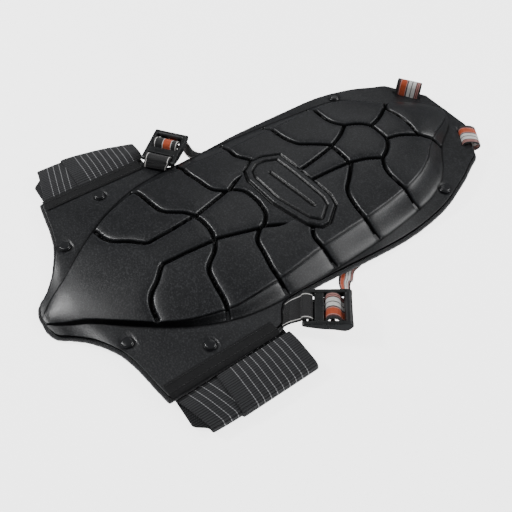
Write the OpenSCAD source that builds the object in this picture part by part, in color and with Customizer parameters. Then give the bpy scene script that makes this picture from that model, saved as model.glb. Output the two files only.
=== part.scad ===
// Back protector: a moulded spine plate riveted to a padded back panel, with shoulder
// straps that run under the panel to ladder-lock buckles, and elastic waist bands that
// are folded back under its wings.
// Frame: +Y up the spine to the neck, +X across, +Z away from the wearer's back.
// The plate lies on a table, outer face up, and its plane of symmetry is x = 0.

/* [Plate] */
// Wall of the moulded plate
shell_t = 2.2; // [1.8:0.1:2.6]
// How far the plate's edge stands inside the edge binding
edge_inset = 3.5; // [3:0.5:4.5]
// Gap that keeps stacked layers of one body apart
layer_gap = 0.4; // [0.3:0.05:0.5]

/* [Padding] */
// Thickness of the back panel under the plate's rim
liner_t = 3.2; // [2.5:0.1:3.6]
// Thickness of the back panel where it meets the binding
liner_edge_t = 2.4; // [2:0.1:2.8]
// Width of the edge binding
binding_w = 4; // [3.5:0.25:4.5]
// Height of the edge binding
binding_h = 3.3; // [3:0.1:3.4]
// Gap between the back panel and the inside of the binding
binding_gap = 2; // [1.8:0.1:2.2]

/* [Rivets] */
// Radius of a rivet head
rivet_r = 5.6; // [4.5:0.1:6.5]
// Radius of a rivet shank
shank_r = 2.1; // [1.5:0.1:2.5]
// Radius of a rivet washer
washer_r = 5; // [4:0.1:5.5]

/* [Waist bands] */
// Thickness of the elastic
band_t = 1.6; // [1:0.1:1.8]
// Radius of the upper band's outer fold, to the middle of the elastic
fold_r = 5.8; // [5.2:0.1:6]
// How far the lower band's fold is nested inside the upper one
nest = 2; // [2:0.1:2.1]

/* [Straps and buckles] */
// Width of the shoulder strap
strap_w = 29; // [25:1:30]
// Thickness of the shoulder strap
strap_t = 1.4; // [1:0.1:1.5]
// Length of the buckle from its anchor bar to its outer bar
buckle_l = 40; // [38:1:42]
// Distance between the middles of the buckle's side rails
buckle_w = 34.5; // [34:0.5:37]

/* [Hidden] */

// ---- Shape of the plate: [y, value] at stations along the spine ----

// Length of the whole pad, which every table of stations spans
pad_l = 520;
// Half width of the whole pad, out to the binding
OUTLINE = [
    [-260, 9], [-257, 18.5], [-252, 24.5], [-245, 30], [-232, 44], [-222, 60], [-215, 75], [-210, 95],
    [-206, 122], [-203, 137], [-195, 137], [-90, 134], [-81, 132], [-64, 113], [-55, 111],
    [-20, 112], [40, 116], [84, 117.5], [103, 117], [122, 115.5], [141, 113], [159, 108.5],
    [174, 103], [193, 95.5], [214, 85], [227, 79], [243, 57], [256, 39], [260, 33]
];
// Half width of the dome where it meets the flange
RIM = [
    [-260, 1.5], [-256, 5], [-250, 11], [-242, 17.5], [-224, 29], [-206, 43.5], [-188, 58],
    [-170, 71.5], [-148, 85], [-121, 97], [-100, 103], [-74, 106.5], [-32, 108.5], [20, 107],
    [71, 104], [107, 100], [136, 95.5], [154, 90], [169, 82], [184, 69], [197, 54], [210, 42],
    [232, 28.5], [246, 17], [253, 7], [260, 1.5]
];
// Half width of the crease that ends the dome's top
CREASE = [
    [-260, 0.9], [-250, 8], [-242, 14.3], [-224, 25.3], [-206, 39.5], [-188, 53.6], [-170, 66.5],
    [-148, 78.5], [-121, 87], [-100, 91], [-50, 89], [4, 83], [81, 80], [120, 76], [141, 71],
    [165, 59], [183, 45], [205, 32], [228, 21], [244, 11], [255, 2], [260, 0.8]
];
// Height of the dome's top along the spine
SPINE_Z = [
    [-260, 8], [-255, 9.5], [-250, 12], [-240, 15.5], [-225, 19], [-205, 21.5], [-175, 23.5],
    [-142, 24.5], [-82, 25], [-35, 23.7], [0, 24], [47, 26.3], [92, 30.5], [123, 33.3],
    [150, 34.8], [178, 35.5], [198, 34.5], [215, 31.5], [232, 26], [245, 20], [254, 15], [260, 14]
];
// Height of the crease
CREASE_Z = [
    [-260, 7.5], [-250, 11], [-225, 16.5], [-200, 18], [-170, 17.5], [-145, 17], [-104, 18],
    [-50, 19], [4, 21.5], [81, 25.5], [120, 29.5], [141, 31], [165, 31], [183, 29.5],
    [205, 27.5], [228, 23], [244, 18], [255, 14.5], [260, 14]
];
// Height of the flange at the dome's rim
RIM_Z = [
    [-260, 7], [-250, 9], [-240, 10.5], [-224, 12], [-190, 12], [-148, 11], [-121, 10],
    [-74, 8.5], [-12, 8], [71, 8], [107, 9], [136, 11], [154, 13], [169, 14], [210, 15],
    [245, 14.5], [260, 14]
];
// Height of the plate at its own edge
EDGE_Z = [
    [-260, 6.1], [-246, 6.6], [-232, 8.8], [-216, 12], [-203, 12.6], [-90, 12.4], [-77, 11],
    [-64, 9], [-45, 8.45], [-20, 8.3], [20, 8.2], [50, 7.2], [84, 6.1], [103, 6.5], [122, 8], [141, 10], [159, 12],
    [174, 13.5], [193, 14.5], [227, 14.5], [260, 14]
];
// How far the back panel arches up between the rims
ARCH = [
    [-260, 0], [-250, 0.5], [-230, 3], [-200, 6], [-100, 8], [0, 8], [100, 12], [180, 12],
    [220, 9], [245, 3], [256, 0.4], [260, 0]
];

// Rows of the plate's mesh, closer together where the outline turns
ROWS = concat(
    [-260, -257, -253, -248, -242, -235, -228, -221, -215, -211, -208, -206, -204.5, -203],
    [for (y = [-196 : 13 : -92]) y], [-86, -81, -75, -69, -64, -58],
    [for (y = [-45 : 15 : 165]) y], [176, 187, 198, 208, 218, 227, 235, 243, 250, 256, 260]
);
PAD_ROWS = concat(
    [-260, -253, -244, -235, -225, -216, -211, -207, -204, -199],
    [for (y = [-180 : 20 : -100]) y], [-88, -81, -75, -70, -66, -60, -52],
    [for (y = [-35 : 22 : 163]) y], [178, 193, 210, 227, 240, 250, 260]
);
FOAM_ROWS = [for (k = [0 : 24]) -222 + 454 * k / 24];

// ---- Interpolation: a cubic through the stations that never overshoots ----

function span_of(t, y, i = 0) =
    (i >= len(t) - 2 || y < t[i + 1][0]) ? i : span_of(t, y, i + 1);
function secant(t, i) = (t[i + 1][1] - t[i][1]) / (t[i + 1][0] - t[i][0]);
function blend_slopes(a, b) = a * b <= 0 ? 0 : 2 * a * b / (a + b);
function slope_at(t, i) =
    i <= 0 ? secant(t, 0)
    : i >= len(t) - 1 ? secant(t, len(t) - 2)
    : blend_slopes(secant(t, i - 1), secant(t, i));
function hermite(a, b, ma, mb, h, s) =
    (2 * pow(s, 3) - 3 * s * s + 1) * a + (pow(s, 3) - 2 * s * s + s) * h * ma
    + (3 * s * s - 2 * pow(s, 3)) * b + (pow(s, 3) - s * s) * h * mb;
function curve(t, y) =
    let (i = span_of(t, y), h = t[i + 1][0] - t[i][0], s = min(1, max(0, (y - t[i][0]) / h)))
    hermite(t[i][1], t[i + 1][1], slope_at(t, i), slope_at(t, i + 1), h, s);
function mix(a, b, s) = a + (b - a) * s;
function unit(v) = v / norm(v);

// ---- Surfaces ----

// Fall of the dome's wall from its crease to its rim, 0 to 1
function wall_fall(s) = 0.5 * s + 0.5 * s * s * (3 - 2 * s);
// Top of the plate
function plate_z(x, y) =
    let (ax = abs(x), xc = curve(CREASE, y), xr = curve(RIM, y), xe = pad_half(y) - edge_inset,
         zc = curve(CREASE_Z, y), zr = curve(RIM_Z, y), ze = curve(EDGE_Z, y))
    ax <= xc ? mix(curve(SPINE_Z, y), zc, pow(ax / xc, 2))
    : ax <= xr ? mix(zc, zr, wall_fall((ax - xc) / (xr - xc)))
    : mix(zr, ze, min(1, (ax - xr) / max(1, xe - xr)));
// Top of the back panel, which arches between the rims and follows the flange outside
function liner_z(x, y) =
    let (ax = abs(x), xr = curve(RIM, y))
    ax <= xr
    ? curve(RIM_Z, y) - shell_t - layer_gap + curve(ARCH, y) * (1 - pow(ax / xr, 2))
    : plate_z(x, y) - shell_t - layer_gap;
function liner_thickness(x, y) =
    let (ax = abs(x), xr = curve(RIM, y), xe = pad_half(y))
    ax <= xr ? liner_t : mix(liner_t, liner_edge_t, min(1, (ax - xr) / max(1, xe - xr)));
// Half width of the pad, and the same drawn in by d on all sides
function pad_half(y) = curve(OUTLINE, y);
function inset_half(y, d) =
    max(1.5, min(pad_half(y) - d, pad_half(max(-pad_l / 2, y - d)), pad_half(min(pad_l / 2, y + d))));

// ---- Solids from rows of points ----

// Closed solid between two grids of points: upper[row][column] above lower[row][column]
module slab(upper, lower) {
    rows = len(upper);
    cols = len(upper[0]);
    n = rows * cols;
    function at(i, j) = i * cols + j;
    function quad(a, b, c, d) = [[a, b, c], [a, c, d]];
    points = concat([for (r = upper) for (p = r) p], [for (r = lower) for (p = r) p]);
    top = [for (i = [0 : rows - 2]) for (j = [0 : cols - 2])
        each quad(at(i, j), at(i + 1, j), at(i + 1, j + 1), at(i, j + 1))];
    bottom = [for (i = [0 : rows - 2]) for (j = [0 : cols - 2])
        each quad(n + at(i, j), n + at(i, j + 1), n + at(i + 1, j + 1), n + at(i + 1, j))];
    sides = [for (i = [0 : rows - 2])
        each concat(
            quad(at(i, 0), n + at(i, 0), n + at(i + 1, 0), at(i + 1, 0)),
            quad(at(i, cols - 1), at(i + 1, cols - 1), n + at(i + 1, cols - 1), n + at(i, cols - 1)))];
    ends = [for (j = [0 : cols - 2])
        each concat(
            quad(at(0, j), at(0, j + 1), n + at(0, j + 1), n + at(0, j)),
            quad(at(rows - 1, j), n + at(rows - 1, j), n + at(rows - 1, j + 1), at(rows - 1, j + 1)))];
    polyhedron(points, concat(top, bottom, sides, ends));
}

// Flat strap along a list of [middle, half-width vector], of thickness t
function tangent(path, i) =
    unit(path[min(len(path) - 1, i + 1)][0] - path[max(0, i - 1)][0]);
function strap_normal(path, i) = unit(cross(path[i][1], tangent(path, i)));
function strap_row(path, i, off) =
    let (c = path[i][0] + strap_normal(path, i) * off)
    [c - path[i][1], c + path[i][1]];
module strap(path, t) {
    slab([for (i = [0 : len(path) - 1]) strap_row(path, i, t / 2)],
         [for (i = [0 : len(path) - 1]) strap_row(path, i, -t / 2)]);
}

// A shape and its copy across the plane of symmetry
module on_both_sides() {
    children();
    mirror([1, 0, 0]) children();
}
// A shape made for the right side, moved to the side that is asked for
module mirror_to(side) {
    if (side > 0) {
        children();
    } else {
        mirror([1, 0, 0]) children();
    }
}

// ---- Plate, foam, back panel and binding ----

// Columns of the plate from edge to spine: flange, wall and top
function plate_cols(y) =
    let (xe = inset_half(y, edge_inset), xr = min(curve(RIM, y), xe - 1), xc = min(curve(CREASE, y), xr - 0.5))
    [xe, mix(xe, xr, 0.5), xr, mix(xr, xc, 0.25), mix(xr, xc, 0.6), xc,
     xc * 0.86, xc * 0.62, xc * 0.32, 0];
function both_halves(half) =
    concat([for (v = half) -v], [for (k = [len(half) - 2 : -1 : 0]) half[k]]);
// A row's place along the spine after both ends are drawn in by d
function drawn_in(y, d) = y * (pad_l / 2 - d) / (pad_l / 2);

RIVETS = [[66.6, -205.2], [110.3, -145.7], [93.5, 162.6]];
// Strap slot beside each shoulder corner: middle, and direction along the slot
SLOT_AT = [45.5, 236.5];
SLOT_DIR = unit([0.83, -0.56]);
SLOT_OUT = [-SLOT_DIR[1], SLOT_DIR[0]];
slot_l = strap_w + 2;
slot_w = 3.4;

module slot_cutters(h0, h1) {
    angle = atan2(SLOT_DIR[1], SLOT_DIR[0]);
    on_both_sides()
        translate([SLOT_AT[0], SLOT_AT[1], h0])
            rotate(angle)
                translate([-slot_l / 2, -slot_w / 2, 0])
                    cube([slot_l, slot_w, h1 - h0]);
}

module outer_shell() {
    grid = [for (row = ROWS)
        let (y = drawn_in(row, edge_inset))
        [for (x = both_halves(plate_cols(y))) [x, y, plate_z(x, y)]]];
    color("#1c1c1f")
        difference() {
            slab(grid, [for (r = grid) [for (p = r) p - [0, 0, shell_t]]]);
            for (p = RIVETS)
                on_both_sides()
                    translate([p[0], p[1], 0])
                        cylinder(r = shank_r + 0.15, h = 40, $fn = 32);
            slot_cutters(0, 40);
        }
}

module impact_foam() {
    side = [1, 0.8, 0.55, 0.28, 0];
    function foam_half(y) = mix(curve(CREASE, y), curve(RIM, y), 0.45);
    function foam_cols(y) = both_halves([for (s = side) s * foam_half(y)]);
    upper = [for (y = FOAM_ROWS)
        [for (x = foam_cols(y)) [x, y, plate_z(x, y) - shell_t - 2 * layer_gap]]];
    lower = [for (y = FOAM_ROWS) [for (x = foam_cols(y)) [x, y, liner_z(x, y) + 2 * layer_gap]]];
    color("#4a4d52") slab(upper, lower);
}

module back_liner() {
    function pad_cols(y) =
        let (xe = inset_half(y, binding_w + binding_gap), xr = min(curve(RIM, y), xe - 1))
        both_halves([xe, mix(xe, xr, 0.5), xr, xr * 0.8, xr * 0.55, xr * 0.28, 0]);
    rows = [for (row = PAD_ROWS) drawn_in(row, binding_w + binding_gap)];
    upper = [for (y = rows) [for (x = pad_cols(y)) [x, y, liner_z(x, y)]]];
    lower = [for (y = rows) [for (x = pad_cols(y)) [x, y, liner_z(x, y) - liner_thickness(x, y)]]];
    color("#2b2c2f")
        difference() {
            slab(upper, lower);
            for (p = RIVETS)
                on_both_sides()
                    translate([p[0], p[1], plate_z(p[0], p[1]) - shell_t - 1.9])
                        cylinder(r = washer_r + 0.3, h = 10, $fn = 32);
            slot_cutters(0, 30);
        }
}

// The binding is swept once round the pad under the plate's edge
BINDING_Y = concat(
    [-260, -258.6, -256, -252, -246, -239, -230, -222, -215, -210.5, -207.5, -205, -203.2],
    [-200, -185, -150, -115, -92, -84, -79, -72, -66, -60, -50, -25, 5],
    [for (y = [30 : 16 : 206]) y], [217, 226, 233, 243, 252, 257.5, 260]
);
function ring_points() =
    concat([for (y = BINDING_Y) [pad_half(y), y]],
           [for (k = [len(BINDING_Y) - 1 : -1 : 0]) [-pad_half(BINDING_Y[k]), BINDING_Y[k]]]);
// Section of the binding: distance in from the outside, and height above its base
BINDING_SECTION = [[1, 0], [0.35, 0], [0, 0.35], [0.12, 0.75], [0.45, 1], [1, 1]];

module edge_binding() {
    ring = ring_points();
    n = len(ring);
    m = len(BINDING_SECTION);
    function inward(k) =
        let (d = unit(ring[(k + 1) % n] - ring[(k + n - 1) % n])) [-d[1], d[0]];
    function base_z(k) = curve(EDGE_Z, ring[k][1]) - shell_t - layer_gap - binding_h;
    function section(k) = [for (s = BINDING_SECTION)
        let (p = ring[k] + inward(k) * s[0] * binding_w) [p[0], p[1], base_z(k) + s[1] * binding_h]];
    points = [for (k = [0 : n - 1]) each section(k)];
    faces = [for (k = [0 : n - 1]) for (s = [0 : m - 1])
        let (a = k * m + s, b = k * m + (s + 1) % m, c = ((k + 1) % n) * m + (s + 1) % m,
             d = ((k + 1) % n) * m + s)
        each [[a, c, d], [a, b, c]]];
    color("#202124") polyhedron(points, faces);
}

// ---- Rivets ----

head_h = 2.6;
module rivet(p) {
    z = plate_z(p[0], p[1]);
    translate([p[0], p[1], z + 0.55])
        rotate_extrude($fn = 48)
            polygon([
                [0, head_h], [rivet_r * 0.45, head_h * 0.9], [rivet_r * 0.8, head_h * 0.62],
                [rivet_r, head_h * 0.18], [rivet_r, 0], [shank_r, 0],
                [shank_r, -shell_t - 2], [0, -shell_t - 2]
            ]);
}
module washer(p) {
    z = plate_z(p[0], p[1]) - shell_t - 1.55;
    translate([p[0], p[1], z])
        difference() {
            cylinder(r = washer_r, h = 0.8, $fn = 48);
            translate([0, 0, -1]) cylinder(r = shank_r + 0.1, h = 4, $fn = 32);
        }
}
module tail_rivets() { color("#141416") on_both_sides() rivet(RIVETS[0]); }
module wing_rivets() { color("#141416") on_both_sides() rivet(RIVETS[1]); }
module shoulder_rivets() { color("#141416") on_both_sides() rivet(RIVETS[2]); }
module tail_washers() { color("#8a8d90") on_both_sides() washer(RIVETS[0]); }
module wing_washers() { color("#8a8d90") on_both_sides() washer(RIVETS[1]); }
module shoulder_washers() { color("#8a8d90") on_both_sides() washer(RIVETS[2]); }

// ---- Waist bands ----
// side is 1 on the right and -1 on the left. Each band leaves the wing, crowns, folds
// under at its outer end and runs back flat on the table.

seam_x = 133.2;
seam_w = 12;
belt_root_x = 138;
upper_y = [-79, -157];
lower_y = [-150, -196.5];
// The lower band leaves the wing at an angle: its outer end is this much nearer the neck
lower_rise = 11;
return_end_x = 72;
fold_z = band_t / 2 + fold_r;

// Outer end of the fold along the band's width: straight on the right, raked on the left
RIGHT_FOLD = [[-200, 178.6], [-160, 180.6], [-79, 180.6]];
LEFT_FOLD = [[-200, 187.5], [-158, 186.2], [-120, 179], [-79, 165]];
function fold_x(side, y) = curve(side > 0 ? RIGHT_FOLD : LEFT_FOLD, y);

module belt_seam(side) {
    ys = [-200, -172, -145, -118, -88];
    xs = [seam_x - seam_w, seam_x - seam_w / 2, seam_x];
    function strip(dz) = [for (y = ys) [for (x = xs) [x, y, plate_z(x, y) + dz]]];
    color("#232427") mirror_to(side) slab(strip(1.3), strip(0.35));
}

// Place across a band, from 0 at its neck edge to 1 at its tail edge
BAND_ROWS = [1 : -0.125 : 0];
function row_y(span, s) = mix(span[0], span[1], s);
function crown_path(side, y, inner) =
    let (x1 = fold_x(side, y) - fold_r, top = fold_z + fold_r - inner)
    [[belt_root_x, top - 3.2], [mix(belt_root_x, x1, 0.2), top - 1], [mix(belt_root_x, x1, 0.45), top + 0.5],
     [mix(belt_root_x, x1, 0.75), top + 0.5], [x1, top]];
function offset_row(path, i, off) =
    let (a = path[max(0, i - 1)], b = path[min(len(path) - 1, i + 1)], d = unit(b - a))
    path[i] + [-d[1], d[0]] * off;

module band_top(side, span, inner, rise) {
    function at(s, i, off) =
        let (y = row_y(span, s), path = crown_path(side, y + rise, inner),
             p = offset_row(path, i, off),
             along = (path[i][0] - belt_root_x) / (path[len(path) - 1][0] - belt_root_x))
        [p[0], y + rise * along, p[1]];
    // From the tail edge to the neck edge, so that rows run up the spine
    upper = [for (s = BAND_ROWS) [for (i = [0 : 4]) at(s, i, band_t / 2)]];
    lower = [for (s = BAND_ROWS) [for (i = [0 : 4]) at(s, i, -band_t / 2)]];
    mirror_to(side) slab(upper, lower);
}
module band_fold(side, span, inner, rise) {
    r = fold_r - inner;
    function at(s, a, off) =
        let (y = row_y(span, s) + rise, cx = fold_x(side, y) - fold_r)
        [cx + (r + off) * cos(a), y, fold_z + (r + off) * sin(a)];
    upper = [for (s = BAND_ROWS) [for (a = [85 : -17 : -85]) at(s, a, band_t / 2)]];
    lower = [for (s = BAND_ROWS) [for (a = [85 : -17 : -85]) at(s, a, -band_t / 2)]];
    mirror_to(side) slab(upper, lower);
}
module band_return(side, span, inner) {
    ys = [for (s = BAND_ROWS) row_y(span, s)];
    function flat(z) =
        [for (y = ys) [[return_end_x, y, z], [fold_x(side, y) - fold_r - 0.4, y, z]]];
    mirror_to(side) slab(flat(inner + band_t), flat(inner));
}
// Closure sewn to the inner ends of both returns
module closure(side, len_x, t) {
    mirror_to(side)
        translate([return_end_x - len_x - 0.4, lower_y[1] + 6, 0])
            cube([len_x, upper_y[0] - lower_y[1] - 12, t]);
}

module left_belt_seam() { belt_seam(-1); }
module right_belt_seam() { belt_seam(1); }
module left_upper_band() { color("#26272a") band_top(-1, upper_y, 0, 0); }
module right_upper_band() { color("#26272a") band_top(1, upper_y, 0, 0); }
module left_lower_band() { color("#2c2d30") band_top(-1, lower_y, nest, lower_rise); }
module right_lower_band() { color("#2c2d30") band_top(1, lower_y, nest, lower_rise); }
module left_upper_fold() { color("#26272a") band_fold(-1, upper_y, 0, 0); }
module right_upper_fold() { color("#26272a") band_fold(1, upper_y, 0, 0); }
module left_lower_fold() { color("#2c2d30") band_fold(-1, lower_y, nest, lower_rise); }
module right_lower_fold() { color("#2c2d30") band_fold(1, lower_y, nest, lower_rise); }
module left_upper_return() { color("#303134") band_return(-1, upper_y, 0); }
module right_upper_return() { color("#303134") band_return(1, upper_y, 0); }
module left_lower_return() { color("#303134") band_return(-1, lower_y, nest); }
module right_lower_return() { color("#303134") band_return(1, lower_y, nest); }
module left_hook_tab() { color("#18181a") closure(-1, 38, 1.8); }
module right_loop_panel() { color("#18181a") closure(1, 38, 1.8); }

// ---- Shoulder straps ----

function in_plane(d, z) = [SLOT_AT[0] + SLOT_OUT[0] * d, SLOT_AT[1] + SLOT_OUT[1] * d, z];
LOOP_HALF = [SLOT_DIR[0], SLOT_DIR[1], 0] * strap_w / 2;
// Distance out from the slot, and height, along each loop from under the pad to the slot
RIGHT_LOOP = [
    [-14, 1.6], [-4, 3.1], [6, 4.4], [13, 5.6], [17.5, 8], [19.3, 11.5], [17.8, 15], [13, 17.4],
    [7, 18.2], [2.4, 17.6], [0.3, 15.4], [0, 12], [0, 7]
];
LEFT_LOOP = [
    [-14, 1.6], [-4, 3.1], [6, 4.4], [12.5, 6], [16.2, 10], [16.4, 16], [14.2, 23], [10, 28.5],
    [5.5, 29.6], [2, 26.5], [0.6, 21], [0, 15], [0, 7]
];
function loop_path(route) = [for (k = route) [in_plane(k[0], k[1]), LOOP_HALF]];
// Middle of each shoulder strap where it lies under the pad, from the loop to the side
RIGHT_STRAP = [[36.2, 215.5], [35.5, 205], [42, 180], [50, 140], [58, 100], [68, 70], [84, 46], [98, 30]];
LEFT_STRAP = [[36.2, 215.5], [35.5, 205], [42, 170], [50, 120], [58, 70], [68, 30], [84, 4], [96, -9]];
strap_z = strap_t / 2 + 0.1;
function flat_half(route, i) =
    let (d = unit(route[min(len(route) - 1, i + 1)] - route[max(0, i - 1)]))
    [-d[1], d[0], 0] * strap_w / 2;
function flat_path(route) =
    [for (i = [0 : len(route) - 1]) [[route[i][0], route[i][1], strap_z], flat_half(route, i)]];

module left_top_loop() { color("#d8d4cf") mirror_to(-1) strap(loop_path(LEFT_LOOP), strap_t); }
module right_top_loop() { color("#d8d4cf") mirror_to(1) strap(loop_path(RIGHT_LOOP), strap_t); }
module left_shoulder_strap() { color("#d8d4cf") mirror_to(-1) strap(flat_path(LEFT_STRAP), strap_t); }
module right_shoulder_strap() { color("#d8d4cf") mirror_to(1) strap(flat_path(RIGHT_STRAP), strap_t); }

// ---- Buckles ----
// Each buckle lies in its own plane: u along its bars, v from the anchor bar to the
// outer bar, w up. The anchor bar's middle is the pivot.

RIGHT_PIVOT = [130, -56, 18];
LEFT_PIVOT = [115, -71, 18.5];
BAR_DIR = unit([0.79, -0.61, 0]);
FRAME_DIR = [-BAR_DIR[1], BAR_DIR[0], 0];
frame_tilt = 3;
function buckle_point(pivot, u, v, w) =
    pivot + BAR_DIR * u + FRAME_DIR * (v * cos(frame_tilt) - w * sin(frame_tilt))
    + [0, 0, v * sin(frame_tilt) + w * cos(frame_tilt)];
function pivot_of(side) = side > 0 ? RIGHT_PIVOT : LEFT_PIVOT;

bar_r = 2.2;
rail_w = 4;
rail_h = 5;
module in_buckle(pivot) {
    translate(pivot)
        rotate(atan2(BAR_DIR[1], BAR_DIR[0]))
            rotate([frame_tilt, 0, 0])
                children();
}
module buckle_bar(v, w, r) {
    translate([-buckle_w / 2, v, w])
        rotate([0, 90, 0])
            cylinder(r = r, h = buckle_w, $fn = 32);
}
module buckle_frame(side) {
    flat_bar = [9, 17.5];
    lock_bar = 25.5;
    outer_r = 3.6;
    // Rounded heel under the outer end of one rail
    heel = [36, -5];
    color("#2f3436")
        mirror_to(side)
            in_buckle(pivot_of(side)) {
                union() {
                    buckle_bar(0, 0, bar_r);
                    buckle_bar(lock_bar, 0.6, bar_r);
                    buckle_bar(buckle_l, 0.5, outer_r);
                    translate([-buckle_w / 2, flat_bar[0], -1.6])
                        cube([buckle_w, flat_bar[1] - flat_bar[0], 4]);
                    for (u = [-buckle_w / 2, buckle_w / 2])
                        hull() {
                            translate([u - rail_w / 2, 0, 0])
                                rotate([0, 90, 0])
                                    cylinder(r = rail_h / 2, h = rail_w, $fn = 32);
                            translate([u - rail_w / 2, buckle_l, 0.5])
                                rotate([0, 90, 0])
                                    cylinder(r = outer_r, h = rail_w, $fn = 32);
                            if (u > 0)
                                translate([u - rail_w / 2, heel[0], heel[1]])
                                    rotate([0, 90, 0])
                                        cylinder(r = outer_r, h = rail_w, $fn = 32);
                        }
                }
            }
}

web_half = BAR_DIR * strap_w / 2;
function buckle_path(side, route) =
    [for (k = route) [buckle_point(pivot_of(side), 0, k[0], k[1]), web_half]];
// [v, w] along the strap: under the outer bar, over the lock bar and down
TURN = [[39, -5.2], [35.2, -4.6], [32.9, -1.2], [30.6, 3], [26, 5.3], [21.8, 3.6], [20.2, 0.2], [19.6, -3]];
TAIL = [[18.9, -4.6], [15.5, -6.2], [11, -7.3], [6.5, -8.2]];
module left_strap_turn() { color("#e0622e") mirror_to(-1) strap(buckle_path(-1, TURN), strap_t); }
module right_strap_turn() { color("#e0622e") mirror_to(1) strap(buckle_path(1, TURN), strap_t); }
module left_strap_tail() { color("#1a1a1c") mirror_to(-1) strap(buckle_path(-1, TAIL), strap_t); }
module right_strap_tail() { color("#1a1a1c") mirror_to(1) strap(buckle_path(1, TAIL), strap_t); }
module left_buckle_frame() { buckle_frame(-1); }
module right_buckle_frame() { buckle_frame(1); }

// Webbing from the wing's slanting edge over the anchor bar and into the buckle
RIGHT_WEB_ROOT = [121.5, -72.5, 9.8];
LEFT_WEB_ROOT = [112.5, -77, 12.4];
WEB_ROOT_HALF = unit([0.74, -0.67, 0]) * (strap_w - 2) / 2;
over_bar = bar_r + strap_t / 2 + 0.5;
function web_over_bar(side) = buckle_path(side, [[-over_bar, 0.6], [-2, over_bar], [1.4, over_bar + 1],
    [4.8, over_bar], [6.8, 1.4], [7.2, -2.4]]);
function web_path(side) =
    let (root = side > 0 ? RIGHT_WEB_ROOT : LEFT_WEB_ROOT, first = web_over_bar(side)[0][0])
    concat([[root, WEB_ROOT_HALF],
            [mix(root, first, 0.4) + [0, 0, 1.5], mix(WEB_ROOT_HALF, web_half, 0.4)]],
           web_over_bar(side));
module left_anchor_web() { color("#151517") mirror_to(-1) strap(web_path(-1), strap_t); }
module right_anchor_web() { color("#151517") mirror_to(1) strap(web_path(1), strap_t); }

// Strap from under the pad's edge up to the buckle's outer bar. It bunches and twists on
// edge as it comes out, and flattens again under the bar. Each row is [middle, direction across, share of the strap's width].
function link_path(side, route) = concat(
    [for (k = route) [k[0], unit(k[1]) * k[2] * strap_w / 2]],
    [[buckle_point(pivot_of(side), 0, buckle_l + 1.2, -5.4), web_half]]);
RIGHT_LINK = [
    [[99.5, 28.6, strap_z], [0.8, 0.6, 0], 1], [[104.5, 21.5, strap_z], [0.86, 0.5, 0], 0.8],
    [[109.5, 14.5, 0.85], [0.88, 0.47, 0], 0.55], [[118, 5.6, 1.1], [0.78, 0.5, 0], 0.5],
    [[124, -1, 6], [0.5, 0.45, 0.6], 0.5], [[132.5, -7, 8.6], [0.25, 0.25, 0.93], 0.5],
    [[142, -12, 9.4], [0.15, 0.1, 0.95], 0.53], [[150, -17.5, 10.4], [0.5, -0.3, 0.8], 0.53]
];
LEFT_LINK = [
    [[97, -10.5, strap_z], [0.73, 0.68, 0], 1], [[102.5, -16, strap_z], [0.78, 0.62, 0], 0.8],
    [[108.5, -21, 0.85], [0.85, 0.52, 0], 0.55], [[117, -26.2, 1.5], [0.78, 0.5, 0.06], 0.5],
    [[122.5, -29, 6], [0.5, 0.45, 0.6], 0.5], [[129.5, -30, 8.6], [0.3, 0.3, 0.9], 0.5],
    [[136.5, -31.6, 9.6], [0.5, -0.1, 0.8], 0.53]
];
module left_strap_link() { color("#d8d4cf") mirror_to(-1) strap(link_path(-1, LEFT_LINK), strap_t); }
module right_strap_link() { color("#d8d4cf") mirror_to(1) strap(link_path(1, RIGHT_LINK), strap_t); }

outer_shell();
impact_foam();
back_liner();
edge_binding();
tail_rivets();
wing_rivets();
shoulder_rivets();
tail_washers();
wing_washers();
shoulder_washers();
left_belt_seam();
right_belt_seam();
left_top_loop();
right_top_loop();
left_shoulder_strap();
right_shoulder_strap();
left_anchor_web();
right_anchor_web();
left_strap_link();
right_strap_link();
left_upper_band();
left_lower_band();
left_upper_fold();
left_lower_fold();
right_upper_band();
right_lower_band();
right_upper_fold();
right_lower_fold();
left_upper_return();
left_lower_return();
left_hook_tab();
right_upper_return();
right_lower_return();
right_loop_panel();
left_buckle_frame();
left_strap_turn();
left_strap_tail();
right_buckle_frame();
right_strap_turn();
right_strap_tail();
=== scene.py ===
import math

import bpy
import numpy as np
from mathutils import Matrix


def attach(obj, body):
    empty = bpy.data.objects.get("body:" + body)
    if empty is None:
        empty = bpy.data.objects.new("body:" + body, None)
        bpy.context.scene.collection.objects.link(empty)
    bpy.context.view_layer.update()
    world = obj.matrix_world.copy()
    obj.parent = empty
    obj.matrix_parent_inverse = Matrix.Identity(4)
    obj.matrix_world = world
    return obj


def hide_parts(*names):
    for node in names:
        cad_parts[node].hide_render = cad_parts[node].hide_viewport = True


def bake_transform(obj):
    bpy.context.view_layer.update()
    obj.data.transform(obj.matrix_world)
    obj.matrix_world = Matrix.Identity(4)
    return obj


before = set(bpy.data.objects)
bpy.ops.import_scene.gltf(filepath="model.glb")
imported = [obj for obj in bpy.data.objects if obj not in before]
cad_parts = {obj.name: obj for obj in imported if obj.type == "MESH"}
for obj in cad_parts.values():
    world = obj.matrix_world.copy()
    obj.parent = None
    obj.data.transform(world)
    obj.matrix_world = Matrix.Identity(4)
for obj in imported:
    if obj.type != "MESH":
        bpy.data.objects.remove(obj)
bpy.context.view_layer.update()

MM = 0.001
SIDES = {"right": 1, "left": -1}

# ---- Camera ----

VIEW_DOWN = math.radians(52.28)
VIEW_TURN = math.radians(55.12)
camera = bpy.data.objects.new("camera", bpy.data.cameras.new("camera"))
camera.data.lens = 44.0
camera.data.sensor_width = 36.0
camera.location = (0.3612, -0.2712, 0.4999)
camera.rotation_euler = (math.pi / 2 - VIEW_DOWN, 0, VIEW_TURN)
bpy.context.scene.collection.objects.link(camera)
bpy.context.scene.camera = camera


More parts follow.
